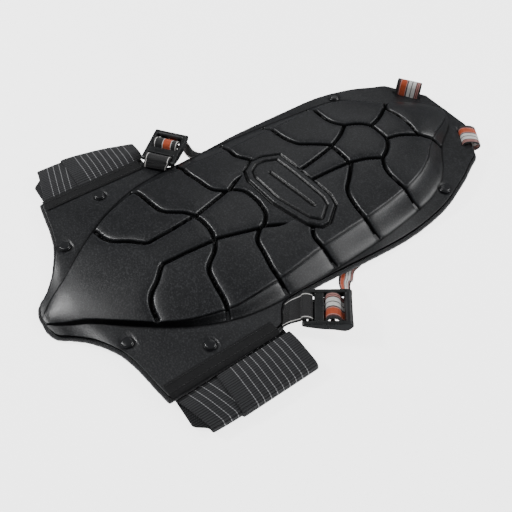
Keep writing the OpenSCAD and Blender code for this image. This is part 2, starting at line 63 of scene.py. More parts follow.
# ---- Shape of the plate, in millimetres: (y, value) at stations along the spine ----

PAD_HALF = [
    (-260, 9), (-257, 18.5), (-252, 24.5), (-245, 30), (-232, 44), (-222, 60), (-215, 75), (-210, 95),
    (-206, 122), (-203, 137), (-195, 137), (-90, 134), (-81, 132), (-64, 113), (-55, 111),
    (-20, 112), (40, 116), (84, 117.5), (103, 117), (122, 115.5), (141, 113), (159, 108.5),
    (174, 103), (193, 95.5), (214, 85), (227, 79), (243, 57), (256, 39), (260, 33),
]
RIM = [
    (-260, 1.5), (-256, 5), (-250, 11), (-242, 17.5), (-224, 29), (-206, 43.5), (-188, 58),
    (-170, 71.5), (-148, 85), (-121, 97), (-100, 103), (-74, 106.5), (-32, 108.5), (20, 107),
    (71, 104), (107, 100), (136, 95.5), (154, 90), (169, 82), (184, 69), (197, 54), (210, 42),
    (232, 28.5), (246, 17), (253, 7), (260, 1.5),
]
CREASE = [
    (-260, 0.9), (-250, 8), (-242, 14.3), (-224, 25.3), (-206, 39.5), (-188, 53.6), (-170, 66.5),
    (-148, 78.5), (-121, 87), (-100, 91), (-50, 89), (4, 83), (81, 80), (120, 76), (141, 71),
    (165, 59), (183, 45), (205, 32), (228, 21), (244, 11), (255, 2), (260, 0.8),
]
SPINE_Z = [
    (-260, 8), (-255, 9.5), (-250, 12), (-240, 15.5), (-225, 19), (-205, 21.5), (-175, 23.5),
    (-142, 24.5), (-82, 25), (-35, 23.7), (0, 24), (47, 26.3), (92, 30.5), (123, 33.3),
    (150, 34.8), (178, 35.5), (198, 34.5), (215, 31.5), (232, 26), (245, 20), (254, 15), (260, 14),
]
CREASE_Z = [
    (-260, 7.5), (-250, 11), (-225, 16.5), (-200, 18), (-170, 17.5), (-145, 17), (-104, 18),
    (-50, 19), (4, 21.5), (81, 25.5), (120, 29.5), (141, 31), (165, 31), (183, 29.5),
    (205, 27.5), (228, 23), (244, 18), (255, 14.5), (260, 14),
]
RIM_Z = [
    (-260, 7), (-250, 9), (-240, 10.5), (-224, 12), (-190, 12), (-148, 11), (-121, 10),
    (-74, 8.5), (-12, 8), (71, 8), (107, 9), (136, 11), (154, 13), (169, 14), (210, 15),
    (245, 14.5), (260, 14),
]
EDGE_Z = [
    (-260, 6.1), (-246, 6.6), (-232, 8.8), (-216, 12), (-203, 12.6), (-90, 12.4), (-77, 11),
    (-64, 9), (-45, 8.45), (-20, 8.3), (20, 8.2), (50, 7.2), (84, 6.1), (103, 6.5), (122, 8),
    (141, 10), (159, 12), (174, 13.5), (193, 14.5), (227, 14.5), (260, 14),
]
ARCH = [
    (-260, 0), (-250, 0.5), (-230, 3), (-200, 6), (-100, 8), (0, 8), (100, 12), (180, 12),
    (220, 9), (245, 3), (256, 0.4), (260, 0),
]
PAD_L = 520
PLATE_T = 2.2
EDGE_INSET = 3.5
LAYER_GAP = 0.4
LINER_T = 3.2
LINER_EDGE_T = 2.4
BINDING_H = 3.3
STRAP_W = 29
STRAP_T = 1.4
# The pad's half width at its very tips, however far it is drawn in
TIP_HALF = 1.5


def curve(table, y):
    """Value at y of a cubic through the stations that never overshoots them."""
    xs, vs = np.array(table, float).T
    y = np.asarray(y, float)
    secant = np.diff(vs) / np.diff(xs)
    a, b = secant[:-1], secant[1:]
    inner = np.where(a * b > 0, 2 * a * b / np.where(a + b == 0, 1, a + b), 0)
    slope = np.concatenate([secant[:1], inner, secant[-1:]])
    i = np.clip(np.searchsorted(xs, y, side="right") - 1, 0, len(xs) - 2)
    h = xs[i + 1] - xs[i]
    s = np.clip((y - xs[i]) / h, 0, 1)
    return (
        (2 * s**3 - 3 * s**2 + 1) * vs[i] + (s**3 - 2 * s**2 + s) * h * slope[i]
        + (3 * s**2 - 2 * s**3) * vs[i + 1] + (s**3 - s**2) * h * slope[i + 1]
    )


def ease(t):
    """Smooth step from 0 to 1 as t goes from 0 to 1."""
    t = np.clip(t, 0, 1)
    return t * t * (3 - 2 * t)


def mix(a, b, s):
    return a + (b - a) * s


def bell(v, width):
    """1 at v = 0, falling away on both sides."""
    return np.exp(-((v / width) ** 2))


def cutter(d, flat, bank):
    """1 up to the distance flat, then down to 0 over its bank."""
    return 1 - ease((d - flat) / bank)


def unit(v):
    v = np.asarray(v, float)
    return v / np.linalg.norm(v, axis=-1, keepdims=True)


def walk(points):
    """Length walked along a line of points, at each of them."""
    return np.concatenate([[0], np.cumsum(np.linalg.norm(np.diff(points, axis=0), axis=1))])


def mirror(side):
    """Factors that take a right-hand point to its place on a side."""
    return np.array([SIDES[side], 1, 1])


def plate_z(x, y):
    """Top of the plate without its tiles and grooves."""
    ax = np.abs(x)
    crease, rim, edge = curve(CREASE, y), curve(RIM, y), curve(PAD_HALF, y) - EDGE_INSET
    crease_z, rim_z, edge_z = curve(CREASE_Z, y), curve(RIM_Z, y), curve(EDGE_Z, y)
    top = mix(curve(SPINE_Z, y), crease_z, (ax / crease) ** 2)
    s = np.clip((ax - crease) / (rim - crease), 0, 1)
    wall = mix(crease_z, rim_z, 0.5 * s + 0.5 * ease(s))
    flange = mix(rim_z, edge_z, np.clip((ax - rim) / np.maximum(1, edge - rim), 0, 1))
    return np.where(ax <= crease, top, np.where(ax <= rim, wall, flange))


def liner_z(x, y):
    """Top of the back panel: arched between the rims, along the flange outside them."""
    ax = np.abs(x)
    rim = curve(RIM, y)
    arched = curve(RIM_Z, y) - PLATE_T - LAYER_GAP + curve(ARCH, y) * (1 - (ax / rim) ** 2)
    return np.where(ax <= rim, arched, plate_z(x, y) - PLATE_T - LAYER_GAP)


def inset_half(y, d):
    """Half width of the pad, drawn in by d on all sides."""
    half = curve(PAD_HALF, y)
    ahead = curve(PAD_HALF, np.minimum(PAD_L / 2, y + d))
    behind = curve(PAD_HALF, np.maximum(-PAD_L / 2, y - d))
    return np.maximum(TIP_HALF, np.minimum(half - d, np.minimum(ahead, behind)))


# ---- Meshes ----

def piece(name, verts, faces, material, uv=None, sharp=None):
    """Object from points in millimetres; uv gives each point its (across, along), in millimetres too."""
    verts = np.asarray(verts, float)
    mesh = bpy.data.meshes.new(name)
    mesh.from_pydata((verts * MM).tolist(), [], faces)
    mesh.calc_loop_triangles()
    corners = np.empty(3 * len(mesh.loop_triangles), np.int32)
    mesh.loop_triangles.foreach_get("vertices", corners)
    a, b, c = (verts[corners[k::3]] for k in range(3))
    if np.einsum("ij,ij->i", a, np.cross(b, c)).sum() < 0:
        mesh.flip_normals()
    if uv is not None:
        corners = np.empty(len(mesh.loops), np.int32)
        mesh.loops.foreach_get("vertex_index", corners)
        layer = mesh.uv_layers.new(name="surface")
        layer.data.foreach_set("uv", (np.asarray(uv, float) * MM)[corners].ravel())
    mesh.shade_smooth()
    if sharp:
        mesh.set_sharp_from_angle(angle=math.radians(sharp))
    obj = bpy.data.objects.new(name, mesh)
    bpy.context.scene.collection.objects.link(obj)
    mesh.materials.append(material)
    return obj


def grid_faces(rows, cols, closed_cols=False, closed_rows=False, start=0, flip=False):
    """Quads between neighbours in a grid of points stored row by row."""
    out = []
    for i in range(rows if closed_rows else rows - 1):
        row, following = start + i * cols, start + (i + 1) % rows * cols
        for j in range(cols if closed_cols else cols - 1):
            k = (j + 1) % cols
            quad = [row + j, row + k, following + k, following + j]
            out.append(quad[::-1] if flip else quad)
    return out


def tube_faces(rows, cols, start=0):
    """Faces of a row of rings, closed at both ends."""
    last = start + (rows - 1) * cols
    ends = [[start + k for k in range(cols)][::-1], [last + k for k in range(cols)]]
    return grid_faces(rows, cols, closed_cols=True, start=start) + ends


def slab(name, x, y, upper, lower, material):
    """Closed body between two heights over the same grid of points."""
    a, b = np.stack([x, y, upper], -1), np.stack([x, y, lower], -1)
    ring = np.concatenate([a, b[:, ::-1]], axis=1)
    return piece(name, ring.reshape(-1, 3), tube_faces(*ring.shape[:2]), material, sharp=60)


def spread(y, half, count):
    """Grid of points between -half and half at each y, closest together at the sides."""
    x = half[:, None] * np.sin(np.linspace(-1, 1, count) * math.pi / 2)
    return x, np.repeat(y[:, None], count, axis=1)


WEB_CORNER = 0.5
CORNER_STEPS = 3
FLAT_STEPS = 12


def band_section(t, w):
    """Closed outline (across, up) of a band, with points along its flat faces so that it can bend."""
    r = min(t / 2, WEB_CORNER)
    corners = [(w - r, t / 2 - r), (r - w, t / 2 - r), (r - w, r - t / 2), (w - r, r - t / 2)]
    out = []
    for quarter, (cx, cz) in enumerate(corners):
        for k in range(CORNER_STEPS + 1):
            a = math.radians(90 * quarter + 90 * k / CORNER_STEPS)
            point = np.array([cx + r * math.cos(a), cz + r * math.sin(a)])
            if k == 0 and quarter in (1, 3):
                out += [mix(out[-1], point, j / FLAT_STEPS) for j in range(1, FLAT_STEPS)]
            out.append(point)
    return out


def resample(points, step):
    """Points along a smooth curve through a list of points, about one step apart."""
    p = np.array(points, float)
    ext = np.vstack([2 * p[0] - p[1], p, 2 * p[-1] - p[-2]])
    out = []
    for i in range(len(p) - 1):
        a, b, c, d = ext[i:i + 4]
        n = max(1, int(math.ceil(np.linalg.norm((c - b)[:3]) / step)))
        for k in range(n):
            s = k / n
            out.append(0.5 * (2 * b + (c - a) * s + (2 * a - 5 * b + 4 * c - d) * s**2
                              + (3 * b - a - 3 * c + d) * s**3))
    out.append(p[-1])
    return np.array(out)


def strap(name, path, material, step):
    """Webbing along a list of (middle, half-width vector), with rounded edges."""
    rows = resample([np.concatenate([m, h]) for m, h in path], step)
    middle, half = rows[:, :3], rows[:, 3:]
    widths = np.linalg.norm(half, axis=1)
    w = widths.max()
    normal = unit(np.cross(half, np.gradient(middle, axis=0)))
    ring = band_section(STRAP_T, w)
    verts, uv = [], []
    for m, a, n, s, half_width in zip(middle, unit(half), normal, walk(middle), widths):
        for u, z in ring:
            verts.append(m + a * u * half_width / w + n * z)
            uv.append((u + w, s))
    return piece(name, verts, tube_faces(len(middle), len(ring)), material, uv, sharp=70)


THREAD_SIDES = 6
# How far along a stitch its rings are, how thick its ends are, how it arches and how deep it is sunk
THREAD_SPOTS = np.array([0, 0.2, 0.5, 0.8, 1])
THREAD_END, THREAD_ARCH, THREAD_SUNK = 0.45, 0.9, 0.15


def stitches(name, runs, length, gap, radius):
    """One mesh of short thread loops along each run of points, on faces that look up."""
    verts, faces = [], []
    up = np.array([0, 0, 1.0])
    for points in runs:
        walked = walk(points)
        for s in np.arange(gap, walked[-1] - length, length + gap):
            at = s + length * THREAD_SPOTS
            way = np.transpose([np.interp(at, walked, points[:, k]) for k in range(3)])
            side = unit(np.cross(up, way[-1] - way[0]))
            faces += tube_faces(len(way), THREAD_SIDES, len(verts))
            for c, q in zip(way, THREAD_SPOTS):
                r = radius * (THREAD_END if q in (0, 1) else 1)
                lift = radius * (THREAD_ARCH * math.sin(math.pi * q) - THREAD_SUNK)
                for k in range(THREAD_SIDES):
                    a = 2 * math.pi * k / THREAD_SIDES
                    verts.append(c + up * (lift + r * math.sin(a)) + side * r * math.cos(a))
    return piece(name, verts, faces, black_thread)


RIBBON_EDGE, RIBBON_EDGE_THIN = 0.35, 0.72


def ribbon(name, grid, t, material, across, along):
    """Closed sheet of thickness t about a grid of points [along][across], with rounded sides."""
    out = unit(np.gradient(grid, axis=1))
    normal = unit(np.cross(out, np.gradient(grid, axis=0)))
    thick = np.full(grid.shape[1], t / 2)
    thick[[0, -1]] *= RIBBON_EDGE_THIN
    thick = thick[None, :, None]
    top, bottom = grid + normal * thick, grid - normal * thick
    near = grid[:, :1] - out[:, :1] * RIBBON_EDGE * t
    far = grid[:, -1:] + out[:, -1:] * RIBBON_EDGE * t
    ring = np.concatenate([top, far, bottom[:, ::-1], near], axis=1)
    u = np.concatenate([across, across[-1:], across[::-1], across[:1]])
    uv = np.stack(np.broadcast_arrays(u[None, :], along[:, None]), -1).reshape(-1, 2)
    return piece(name, ring.reshape(-1, 3), tube_faces(*ring.shape[:2]), material, uv, sharp=75)


def fit(obj, body, slot, *nodes):
    """Give a piece its body and hide the CAD nodes it stands for; the finish slot is not used."""
    if body:
        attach(obj, body)
    if nodes:
        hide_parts(*nodes)
    return obj


# ---- Materials. Sizes in them are in metres, and scales are per metre ----

def add(tree, kind, inputs=(), **settings):
    """New node. A value that is a socket is linked; any other is set."""
    node = tree.nodes.new(kind)
    for name, value in settings.items():
        setattr(node, name, value)
    for name, value in dict(inputs).items():
        if isinstance(value, bpy.types.NodeSocket):
            tree.links.new(value, node.inputs[name])
        else:
            node.inputs[name].default_value = value
    return node


def maths(tree, operation, a, b=0.0):
    return add(tree, "ShaderNodeMath", {0: a, 1: b}, operation=operation).outputs[0]


def times(tree, a, b):
    return maths(tree, "MULTIPLY", a, b)


def mixed(tree, factor, a, b):
    """Colour between a and b, each a socket or (red, green, blue)."""
    a, b = ((*v, 1) if isinstance(v, tuple) else v for v in (a, b))
    return add(tree, "ShaderNodeMix", {0: factor, 6: a, 7: b}, data_type="RGBA").outputs[2]


def scaled(colour, factor):
    return tuple(factor * c for c in colour)


def shader(name, colour, roughness, specular=0.5, sheen=0.0):
    m = bpy.data.materials.new(name)
    m.use_nodes = True
    surface = m.node_tree.nodes["Principled BSDF"]
    values = {"Base Color": (*colour, 1), "Roughness": roughness, "Specular IOR Level": specular,
              "Sheen Weight": sheen, "Sheen Roughness": 0.5}
    for label, value in values.items():
        surface.inputs[label].default_value = value
    return m, m.node_tree, surface


def tint(tree, surface, factor, a, b):
    """Base colour between a and b."""
    tree.links.new(mixed(tree, factor, a, b), surface.inputs["Base Color"])


def bump(tree, surface, height, distance, strength):
    node = add(tree, "ShaderNodeBump", {"Height": height, "Distance": distance, "Strength": strength})
    tree.links.new(node.outputs["Normal"], surface.inputs["Normal"])


def place(tree):
    return add(tree, "ShaderNodeTexCoord").outputs["Object"]


def surface_uv(tree):
    """(across, along) on a piece that has them."""
    uv = add(tree, "ShaderNodeUVMap", uv_map="surface").outputs["UV"]
    parts = add(tree, "ShaderNodeSeparateXYZ", {"Vector": uv})
    return parts.outputs["X"], parts.outputs["Y"]


def noise(tree, scale, detail=2.0, roughness=0.5):
    inputs = {"Vector": place(tree), "Scale": scale, "Detail": detail, "Roughness": roughness}
    return add(tree, "ShaderNodeTexNoise", inputs).outputs["Fac"]


def cells(tree, scale, randomness=1.0):
    """Distance from the middle of the nearest cell."""
    inputs = {"Vector": place(tree), "Scale": scale, "Randomness": randomness}
    return add(tree, "ShaderNodeTexVoronoi", inputs).outputs["Distance"]


def ramp(tree, value, low, high, out_low, out_high):
    inputs = {"Value": value, "From Min": low, "From Max": high, "To Min": out_low, "To Max": out_high}
    return add(tree, "ShaderNodeMapRange", inputs).outputs["Result"]


def threads(tree, distance, pitch):
    """Rounded threads side by side, 0 to 1, one each pitch."""
    return maths(tree, "ABSOLUTE", maths(tree, "SINE", times(tree, distance, math.pi / pitch)))


def weave(tree, across, along, warp, weft):
    """Threads that go over and under each other: warp runs along, weft runs across."""
    over = maths(tree, "SINE", times(tree, across, math.pi / warp))
    under = maths(tree, "SINE", times(tree, along, math.pi / weft))
    checker = times(tree, over, under)
    crossing, sunk = 0.3, 0.25
    a = times(tree, threads(tree, across, warp), ramp(tree, checker, -crossing, crossing, sunk, 1))
    b = times(tree, threads(tree, along, weft), ramp(tree, checker, -crossing, crossing, 1, sunk))
    return maths(tree, "MAXIMUM", a, b)


def lines(tree, across, first, pitch, count, width):
    """1 on each of count thin lines along a band; first, pitch and width are in millimetres."""
    q = maths(tree, "DIVIDE", maths(tree, "SUBTRACT", across, first * MM), pitch * MM)
    off = maths(tree, "ABSOLUTE", maths(tree, "SUBTRACT", q, maths(tree, "ROUND", q)))
    near = ramp(tree, off, 0.35 * width / pitch, 0.65 * width / pitch, 1, 0)
    low = maths(tree, "GREATER_THAN", q, -0.5)
    high = maths(tree, "LESS_THAN", q, count - 0.5)
    return times(tree, near, times(tree, low, high))


def moulded_skin():
    """Fine-grained black plastic with pale specks, paler on rubbed edges that also carry a painted highlight,
    with painted shade in the grooves and cuts, at the foot of the wall and on the outer edge.
    """
    m, t, s = shader("moulded_skin", (0.012, 0.013, 0.014), 0.42)
    grain = maths(t, "ADD", cells(t, 1150.0), times(t, noise(t, 1500.0), 0.9))
    wear_and_highlight = add(t, "ShaderNodeAttribute", attribute_name="wear_and_highlight").outputs["Fac"]
    painted_shade = add(t, "ShaderNodeAttribute", attribute_name="painted_shade").outputs["Fac"]
    cloud = noise(t, 22.0, 4.0, 0.6)
    speck = ramp(t, noise(t, 650.0, 3.0), 0.48, 0.68, 0.0, 1.0)
    base = mixed(t, ramp(t, cloud, 0.3, 0.7, 0, 1), (0.0065, 0.007, 0.008), (0.011, 0.0117, 0.013))
    base = mixed(t, times(t, speck, 0.6), base, (0.045, 0.046, 0.05))
    # Paler on rubbed edges, paler still as a painted highlight along the tile lips and the step
    base = mixed(t, times(t, wear_and_highlight, 0.5), base, (0.05, 0.052, 0.056))
    # Painted shade: near black, with little specular, where the shade mask is high
    tint(t, s, painted_shade, base, (0.0012, 0.0012, 0.0013))
    t.links.new(ramp(t, painted_shade, 0, 1, 0.5, 0.04), s.inputs["Specular IOR Level"])
    rough = maths(t, "ADD", ramp(t, cloud, 0.25, 0.75, 0.29, 0.37), times(t, speck, 0.08))
    rough = maths(t, "SUBTRACT", rough, times(t, wear_and_highlight, 0.1))
    t.links.new(rough, s.inputs["Roughness"])
    bump(t, s, grain, 0.00014, 0.6)
    return m


def spacer_mesh():
    m, t, s = shader("spacer_mesh", (0.03, 0.031, 0.033), 0.85, 0.3, 0.3)
    hole = ramp(t, cells(t, 520.0, 0.25), 0.18, 0.42, 0, 1)
    tint(t, s, hole, (0.004, 0.004, 0.004), (0.042, 0.043, 0.046))
    bump(t, s, hole, 0.0006, 0.9)
    return m


def binding_tape():
    m, t, s = shader("binding_tape", (0.024, 0.025, 0.027), 0.78, 0.35, 0.35)
    cloth = weave(t, *surface_uv(t), 0.0007, 0.0009)
    tint(t, s, cloth, (0.007, 0.007, 0.008), (0.033, 0.034, 0.037))
    bump(t, s, cloth, 0.0003, 0.9)
    return m


LINE_PITCH = 6.6


def elastic(name, first, count):
    """Ribbed elastic with thin pale lines along it, the first one at first, in millimetres."""
    m, t, s = shader(name, (0.022, 0.023, 0.025), 0.72, 0.35, 0.08)
    u, v = surface_uv(t)
    slant = maths(t, "ADD", u, times(t, v, 0.55))
    rib = threads(t, v, 0.0023)
    cloth = maths(t, "ADD", times(t, rib, 0.65), times(t, threads(t, slant, 0.0017), 0.35))
    dark = mixed(t, noise(t, 60.0, 3.0), (0.003, 0.003, 0.0035), (0.006, 0.006, 0.007))
    base = mixed(t, ramp(t, cloth, 0.25, 0.95, 0, 1), dark, (0.033, 0.034, 0.037))
    pale = times(t, lines(t, u, first, LINE_PITCH, count, 0.7), ramp(t, rib, 0.1, 0.7, 0.15, 1))
    tint(t, s, pale, base, (0.3, 0.3, 0.31))
    raised = times(t, lines(t, u, first, LINE_PITCH, count, 1.6), 0.5)
    bump(t, s, maths(t, "ADD", cloth, raised), 0.0006, 1.0)
    return m


def webbing(name, stripes, specular=0.4, sheen=0.2):
    """Woven webbing; stripes is a list of (width in millimetres, colour) from edge to edge."""
    m, t, s = shader(name, (0.03, 0.03, 0.03), 0.62, specular, sheen)
    u, v = surface_uv(t)
    width = sum(w for w, _ in stripes)
    bands = add(t, "ShaderNodeValToRGB", {"Fac": maths(t, "DIVIDE", u, width * MM)})
    bands.color_ramp.interpolation = "CONSTANT"
    stops = bands.color_ramp.elements
    stops.remove(stops[1])
    at = 0.0
    for k, (w, colour) in enumerate(stripes):
        stop = stops.new(at / width) if k else stops[0]
        stop.color = (*colour, 1)
        at += w
    cloth = weave(t, u, v, 0.0009, 0.0007)
    shade = ramp(t, cloth, 0.1, 0.9, 0.45, 1.0)
    toned = add(t, "ShaderNodeHueSaturation", {"Color": bands.outputs["Color"], "Value": shade})
    t.links.new(toned.outputs["Color"], s.inputs["Base Color"])
    bump(t, s, cloth, 0.00025, 0.9)
    return m


def plain_thread(name, colour):
    m, t, s = shader(name, colour, 0.6, 0.4, 0.3)
    strand = noise(t, 3000.0)
    tint(t, s, strand, scaled(colour, 0.5), colour)
    bump(t, s, strand, 0.0001, 0.6)
    return m


def moulded_plastic(name, colour, roughness):
    m, t, s = shader(name, colour, roughness)
    cloud = noise(t, 90.0, 4.0)
    tint(t, s, cloud, scaled(colour, 0.75), scaled(colour, 1.25))
    t.links.new(ramp(t, cloud, 0.3, 0.7, roughness - 0.06, roughness + 0.08), s.inputs["Roughness"])
    bump(t, s, noise(t, 1500.0), 0.00006, 0.5)
    return m


def foam_block():
    m, t, s = shader("foam_block", (0.10, 0.105, 0.11), 0.9, 0.2)
    pores = cells(t, 700.0)
    tint(t, s, pores, (0.05, 0.052, 0.055), (0.16, 0.165, 0.17))
    bump(t, s, pores, 0.0004, 0.8)
    return m


def pressed_steel():
    m, t, s = shader("pressed_steel", (0.5, 0.5, 0.51), 0.35)
    s.inputs["Metallic"].default_value = 1.0
    t.links.new(ramp(t, noise(t, 1200.0, 3.0), 0.3, 0.7, 0.28, 0.46), s.inputs["Roughness"])
    return m


def closure_pile(name, colour, scale):
    """Hook or loop closure: a dense field of small raised points."""
    m, t, s = shader(name, colour, 0.85, 0.3, 0.4)
    tips = ramp(t, cells(t, scale, 0.5), 0.0, 0.6, 1, 0)
    tint(t, s, tips, scaled(colour, 0.3), scaled(colour, 1.6))
    bump(t, s, tips, 0.0007, 0.9)
    return m


BLACK = (0.008, 0.008, 0.009)
ORANGE = (0.62, 0.085, 0.016)
PINK = (0.62, 0.30, 0.27)
WHITE = (0.92, 0.90, 0.87)
DARK_RED = (0.10, 0.016, 0.014)
SEAM_BLACK = (0.0105, 0.0108, 0.0118)
STRIPES = [(3, BLACK), (1.2, DARK_RED), (1, PINK), (6.3, ORANGE), (1, PINK), (1.3, BLACK), (4, WHITE),
           (0.9, BLACK), (4.3, WHITE), (1.3, DARK_RED), (1.2, PINK), (0.8, DARK_RED), (1.2, PINK),
           (1.5, BLACK)]
# One generic coloured block, bordered in white, on otherwise black webbing
BLOCK_WEB = [(1.6, BLACK), (0.9, WHITE), (8.5, BLACK), (0.8, WHITE), (9, ORANGE), (0.8, WHITE), (4.9, BLACK),
             (0.9, WHITE), (1.6, BLACK)]
PLAIN_WEB = [(1.6, BLACK), (0.9, WHITE), (24, BLACK), (0.9, WHITE), (1.6, BLACK)]

skin = moulded_skin()
mesh_cloth = spacer_mesh()
tape = binding_tape()
upper_elastic = elastic("upper_elastic", 11.0, 9)
lower_elastic = elastic("lower_elastic", 16.0, 4)
striped_web = webbing("striped_web", STRIPES)
block_web = webbing("block_web", BLOCK_WEB)
plain_web = webbing("plain_web", PLAIN_WEB)
seam_tape = webbing("seam_tape", [(12, SEAM_BLACK)], 0.3, 0.0)
black_thread = plain_thread("black_thread", (0.009, 0.009, 0.01))
rivet_plastic = moulded_plastic("rivet_plastic", (0.016, 0.0165, 0.018), 0.2)
buckle_plastic = moulded_plastic("buckle_plastic", (0.013, 0.0138, 0.0145), 0.3)
foam = foam_block()
steel = pressed_steel()
hooks = closure_pile("hooks", (0.02, 0.02, 0.021), 900.0)
loops = closure_pile("loops", (0.024, 0.024, 0.026), 600.0)


# ---- Plate ----

# Grooves of the right half, each a line of (across, along the spine); the left half mirrors them
GROOVES = [
    [(0, 184.5), (10, 184), (27.5, 183), (38.5, 195), (46, 205)],
    [(28, 181), (17.5, 163), (12.8, 147)],
    [(0, 148), (8, 148), (14.5, 146.5), (21, 142), (27.5, 134), (32, 125)],
    [(31, 123.5), (22, 109.5), (15.2, 92)],
    [(0, 93), (8, 93), (15.2, 92)],
    [(32, 125), (41.5, 119), (51, 116), (64, 115.5), (80, 117), (100, 123)],
    [(15.2, 92), (11.9, 71), (9.5, 48.5)],
    [(18, 93), (27, 84), (33, 77.5), (42, 67.8), (56, 62), (80, 59), (104, 62)],
    [(50, 13), (59, 9), (68, 3), (80, 1.5), (106, 4)],
    [(0, -17.2), (14, -19), (22, -22.5), (29, -29.5), (31, -35)],
    [(31, -35), (24, -60), (18.3, -81)],
    [(0, -79), (9, -79.5), (18.3, -82)],
    [(32, -37), (42, -47), (61, -51), (80, -54.5), (106, -55)],
    [(19, -84), (16.7, -110), (15.5, -137)],
    [(20, -82), (30, -89), (43.5, -104.6), (60, -109), (84, -112), (100, -119)],
    [(15.5, -137), (17, -141), (28.5, -152), (38, -164), (49, -170), (63.5, -172.5)],
]
# The groove that runs out to nothing at its last point
TAPERED = [(31.2, -31), (38.5, -16.5), (43.5, 0)]
TAPER_FROM, TAPER_LIFT, TAPER_END = 0.35, 3.2, 2
# Outline of the raised panel, which isn't symmetric, and the line of the recess in its middle
PANEL = [(-44, -4), (-52, 9), (-50.5, 23), (-41, 41), (-8, 44.5), (38, 48), (52, 44.5), (67, 25),
         (66.5, 15), (54, 4.5), (12, -7.5), (-29, -9.5)]
RECESS = [(-24, 16), (40, 25)]
RIVETS = {"tail_rivets": (66.6, -205.2), "wing_rivets": (110.3, -145.7), "shoulder_rivets": (93.5, 162.6)}
SLOT_AT = np.array([45.5, 236.5])
SLOT_DIR = unit([0.83, -0.56])
SLOT_OUT = np.array([-SLOT_DIR[1], SLOT_DIR[0]])

# Cuts in the plate: depth, and (how far from its line it is flat, width of its bank)
GROOVE_DEPTH, GROOVE_CUT = 4.0, (1.0, 1.7)
OUTLINE_DEPTH, OUTLINE_CUT = 2.2, (0.8, 1.2)
INNER_DEPTH, INNER_CUT, INNER_AT = 1.7, (0.7, 1.1), 8.5
RECESS_DEPTH, RECESS_CUT = 1.9, (1.2, 1.2)
SEAT_DEPTH, SEAT_CUT = 0.7, (7.0, 1.6)
SLOT_DEPTH, SLOT_ACROSS, SLOT_ALONG = 1.9, (1.3, 0.9), (15, 1)
# Rises and drops that fade away from a line: height, where it starts and its width
BEAD_RISE, BEAD_W = 0.5, 0.9
PILLOW_DROP, PILLOW_EDGE, PILLOW_W = 1.1, 2.7, 3.5
STEP_DROP, STEP_W = 1.1, 1.3
STEP_LINE, STEP_LINE_AT, STEP_LINE_W = 0.6, 0.9, 0.7
PANEL_RISE, PANEL_W, PANEL_CLEAR = 1.0, 3, 50.0
DOME_FADE = 3.5
# Where the step starts at the tail and ends at the neck, and the lengths it fades over there
TAIL_Y, NECK_Y, TAIL_RUN, NECK_RUN = -180, 246, 40, 14
# Share of the step that shows near a groove, and how near that is
GROOVE_STEP, GROOVE_NEAR = 0.3, 2.4
# Painted shade on the wall: how dark it is at its foot, and over its whole height towards the tail
ROOT_DARK, ROOT_W, TAIL_DARK, TAIL_DARK_Y, TAIL_FADE = 0.85, 1.1, 0.9, -100, 60


def line_distance(x, y, line):
    """Distance from points to a line of points, and how far along it they are, 0 to 1."""
    line = np.asarray(line, float)
    walked = walk(line)
    best, where = np.full(x.shape, 1e9), np.zeros(x.shape)
    for k in range(len(line) - 1):
        (ax, ay), (bx, by) = line[k], line[k + 1]
        dx, dy = bx - ax, by - ay
        s = np.clip(((x - ax) * dx + (y - ay) * dy) / (dx * dx + dy * dy), 0, 1)
        d = np.hypot(x - ax - s * dx, y - ay - s * dy)
        nearer = d < best
        best = np.where(nearer, d, best)
        where = np.where(nearer, (walked[k] + s * (walked[k + 1] - walked[k])) / walked[-1], where)
    return best, where


def inside(x, y, outline):
    """True for points inside a closed outline."""
    result = np.zeros(x.shape, bool)
    for (ax, ay), (bx, by) in zip(outline, outline[1:] + outline[:1]):
        if ay != by:
            result ^= ((ay > y) != (by > y)) & (x < (bx - ax) * (y - ay) / (by - ay) + ax)
    return result


def groove_distance(x, y):
    near = np.full(x.shape, 1e9)
    for line in GROOVES:
        near = np.minimum(near, line_distance(x, y, resample(line, 4))[0])
    d, along = line_distance(x, y, resample(TAPERED, 4))
    d = d + TAPER_LIFT * ease((along - TAPER_FROM) / (1 - TAPER_FROM)) + np.where(along > 0.999, TAPER_END, 0)
    return np.minimum(near, d)


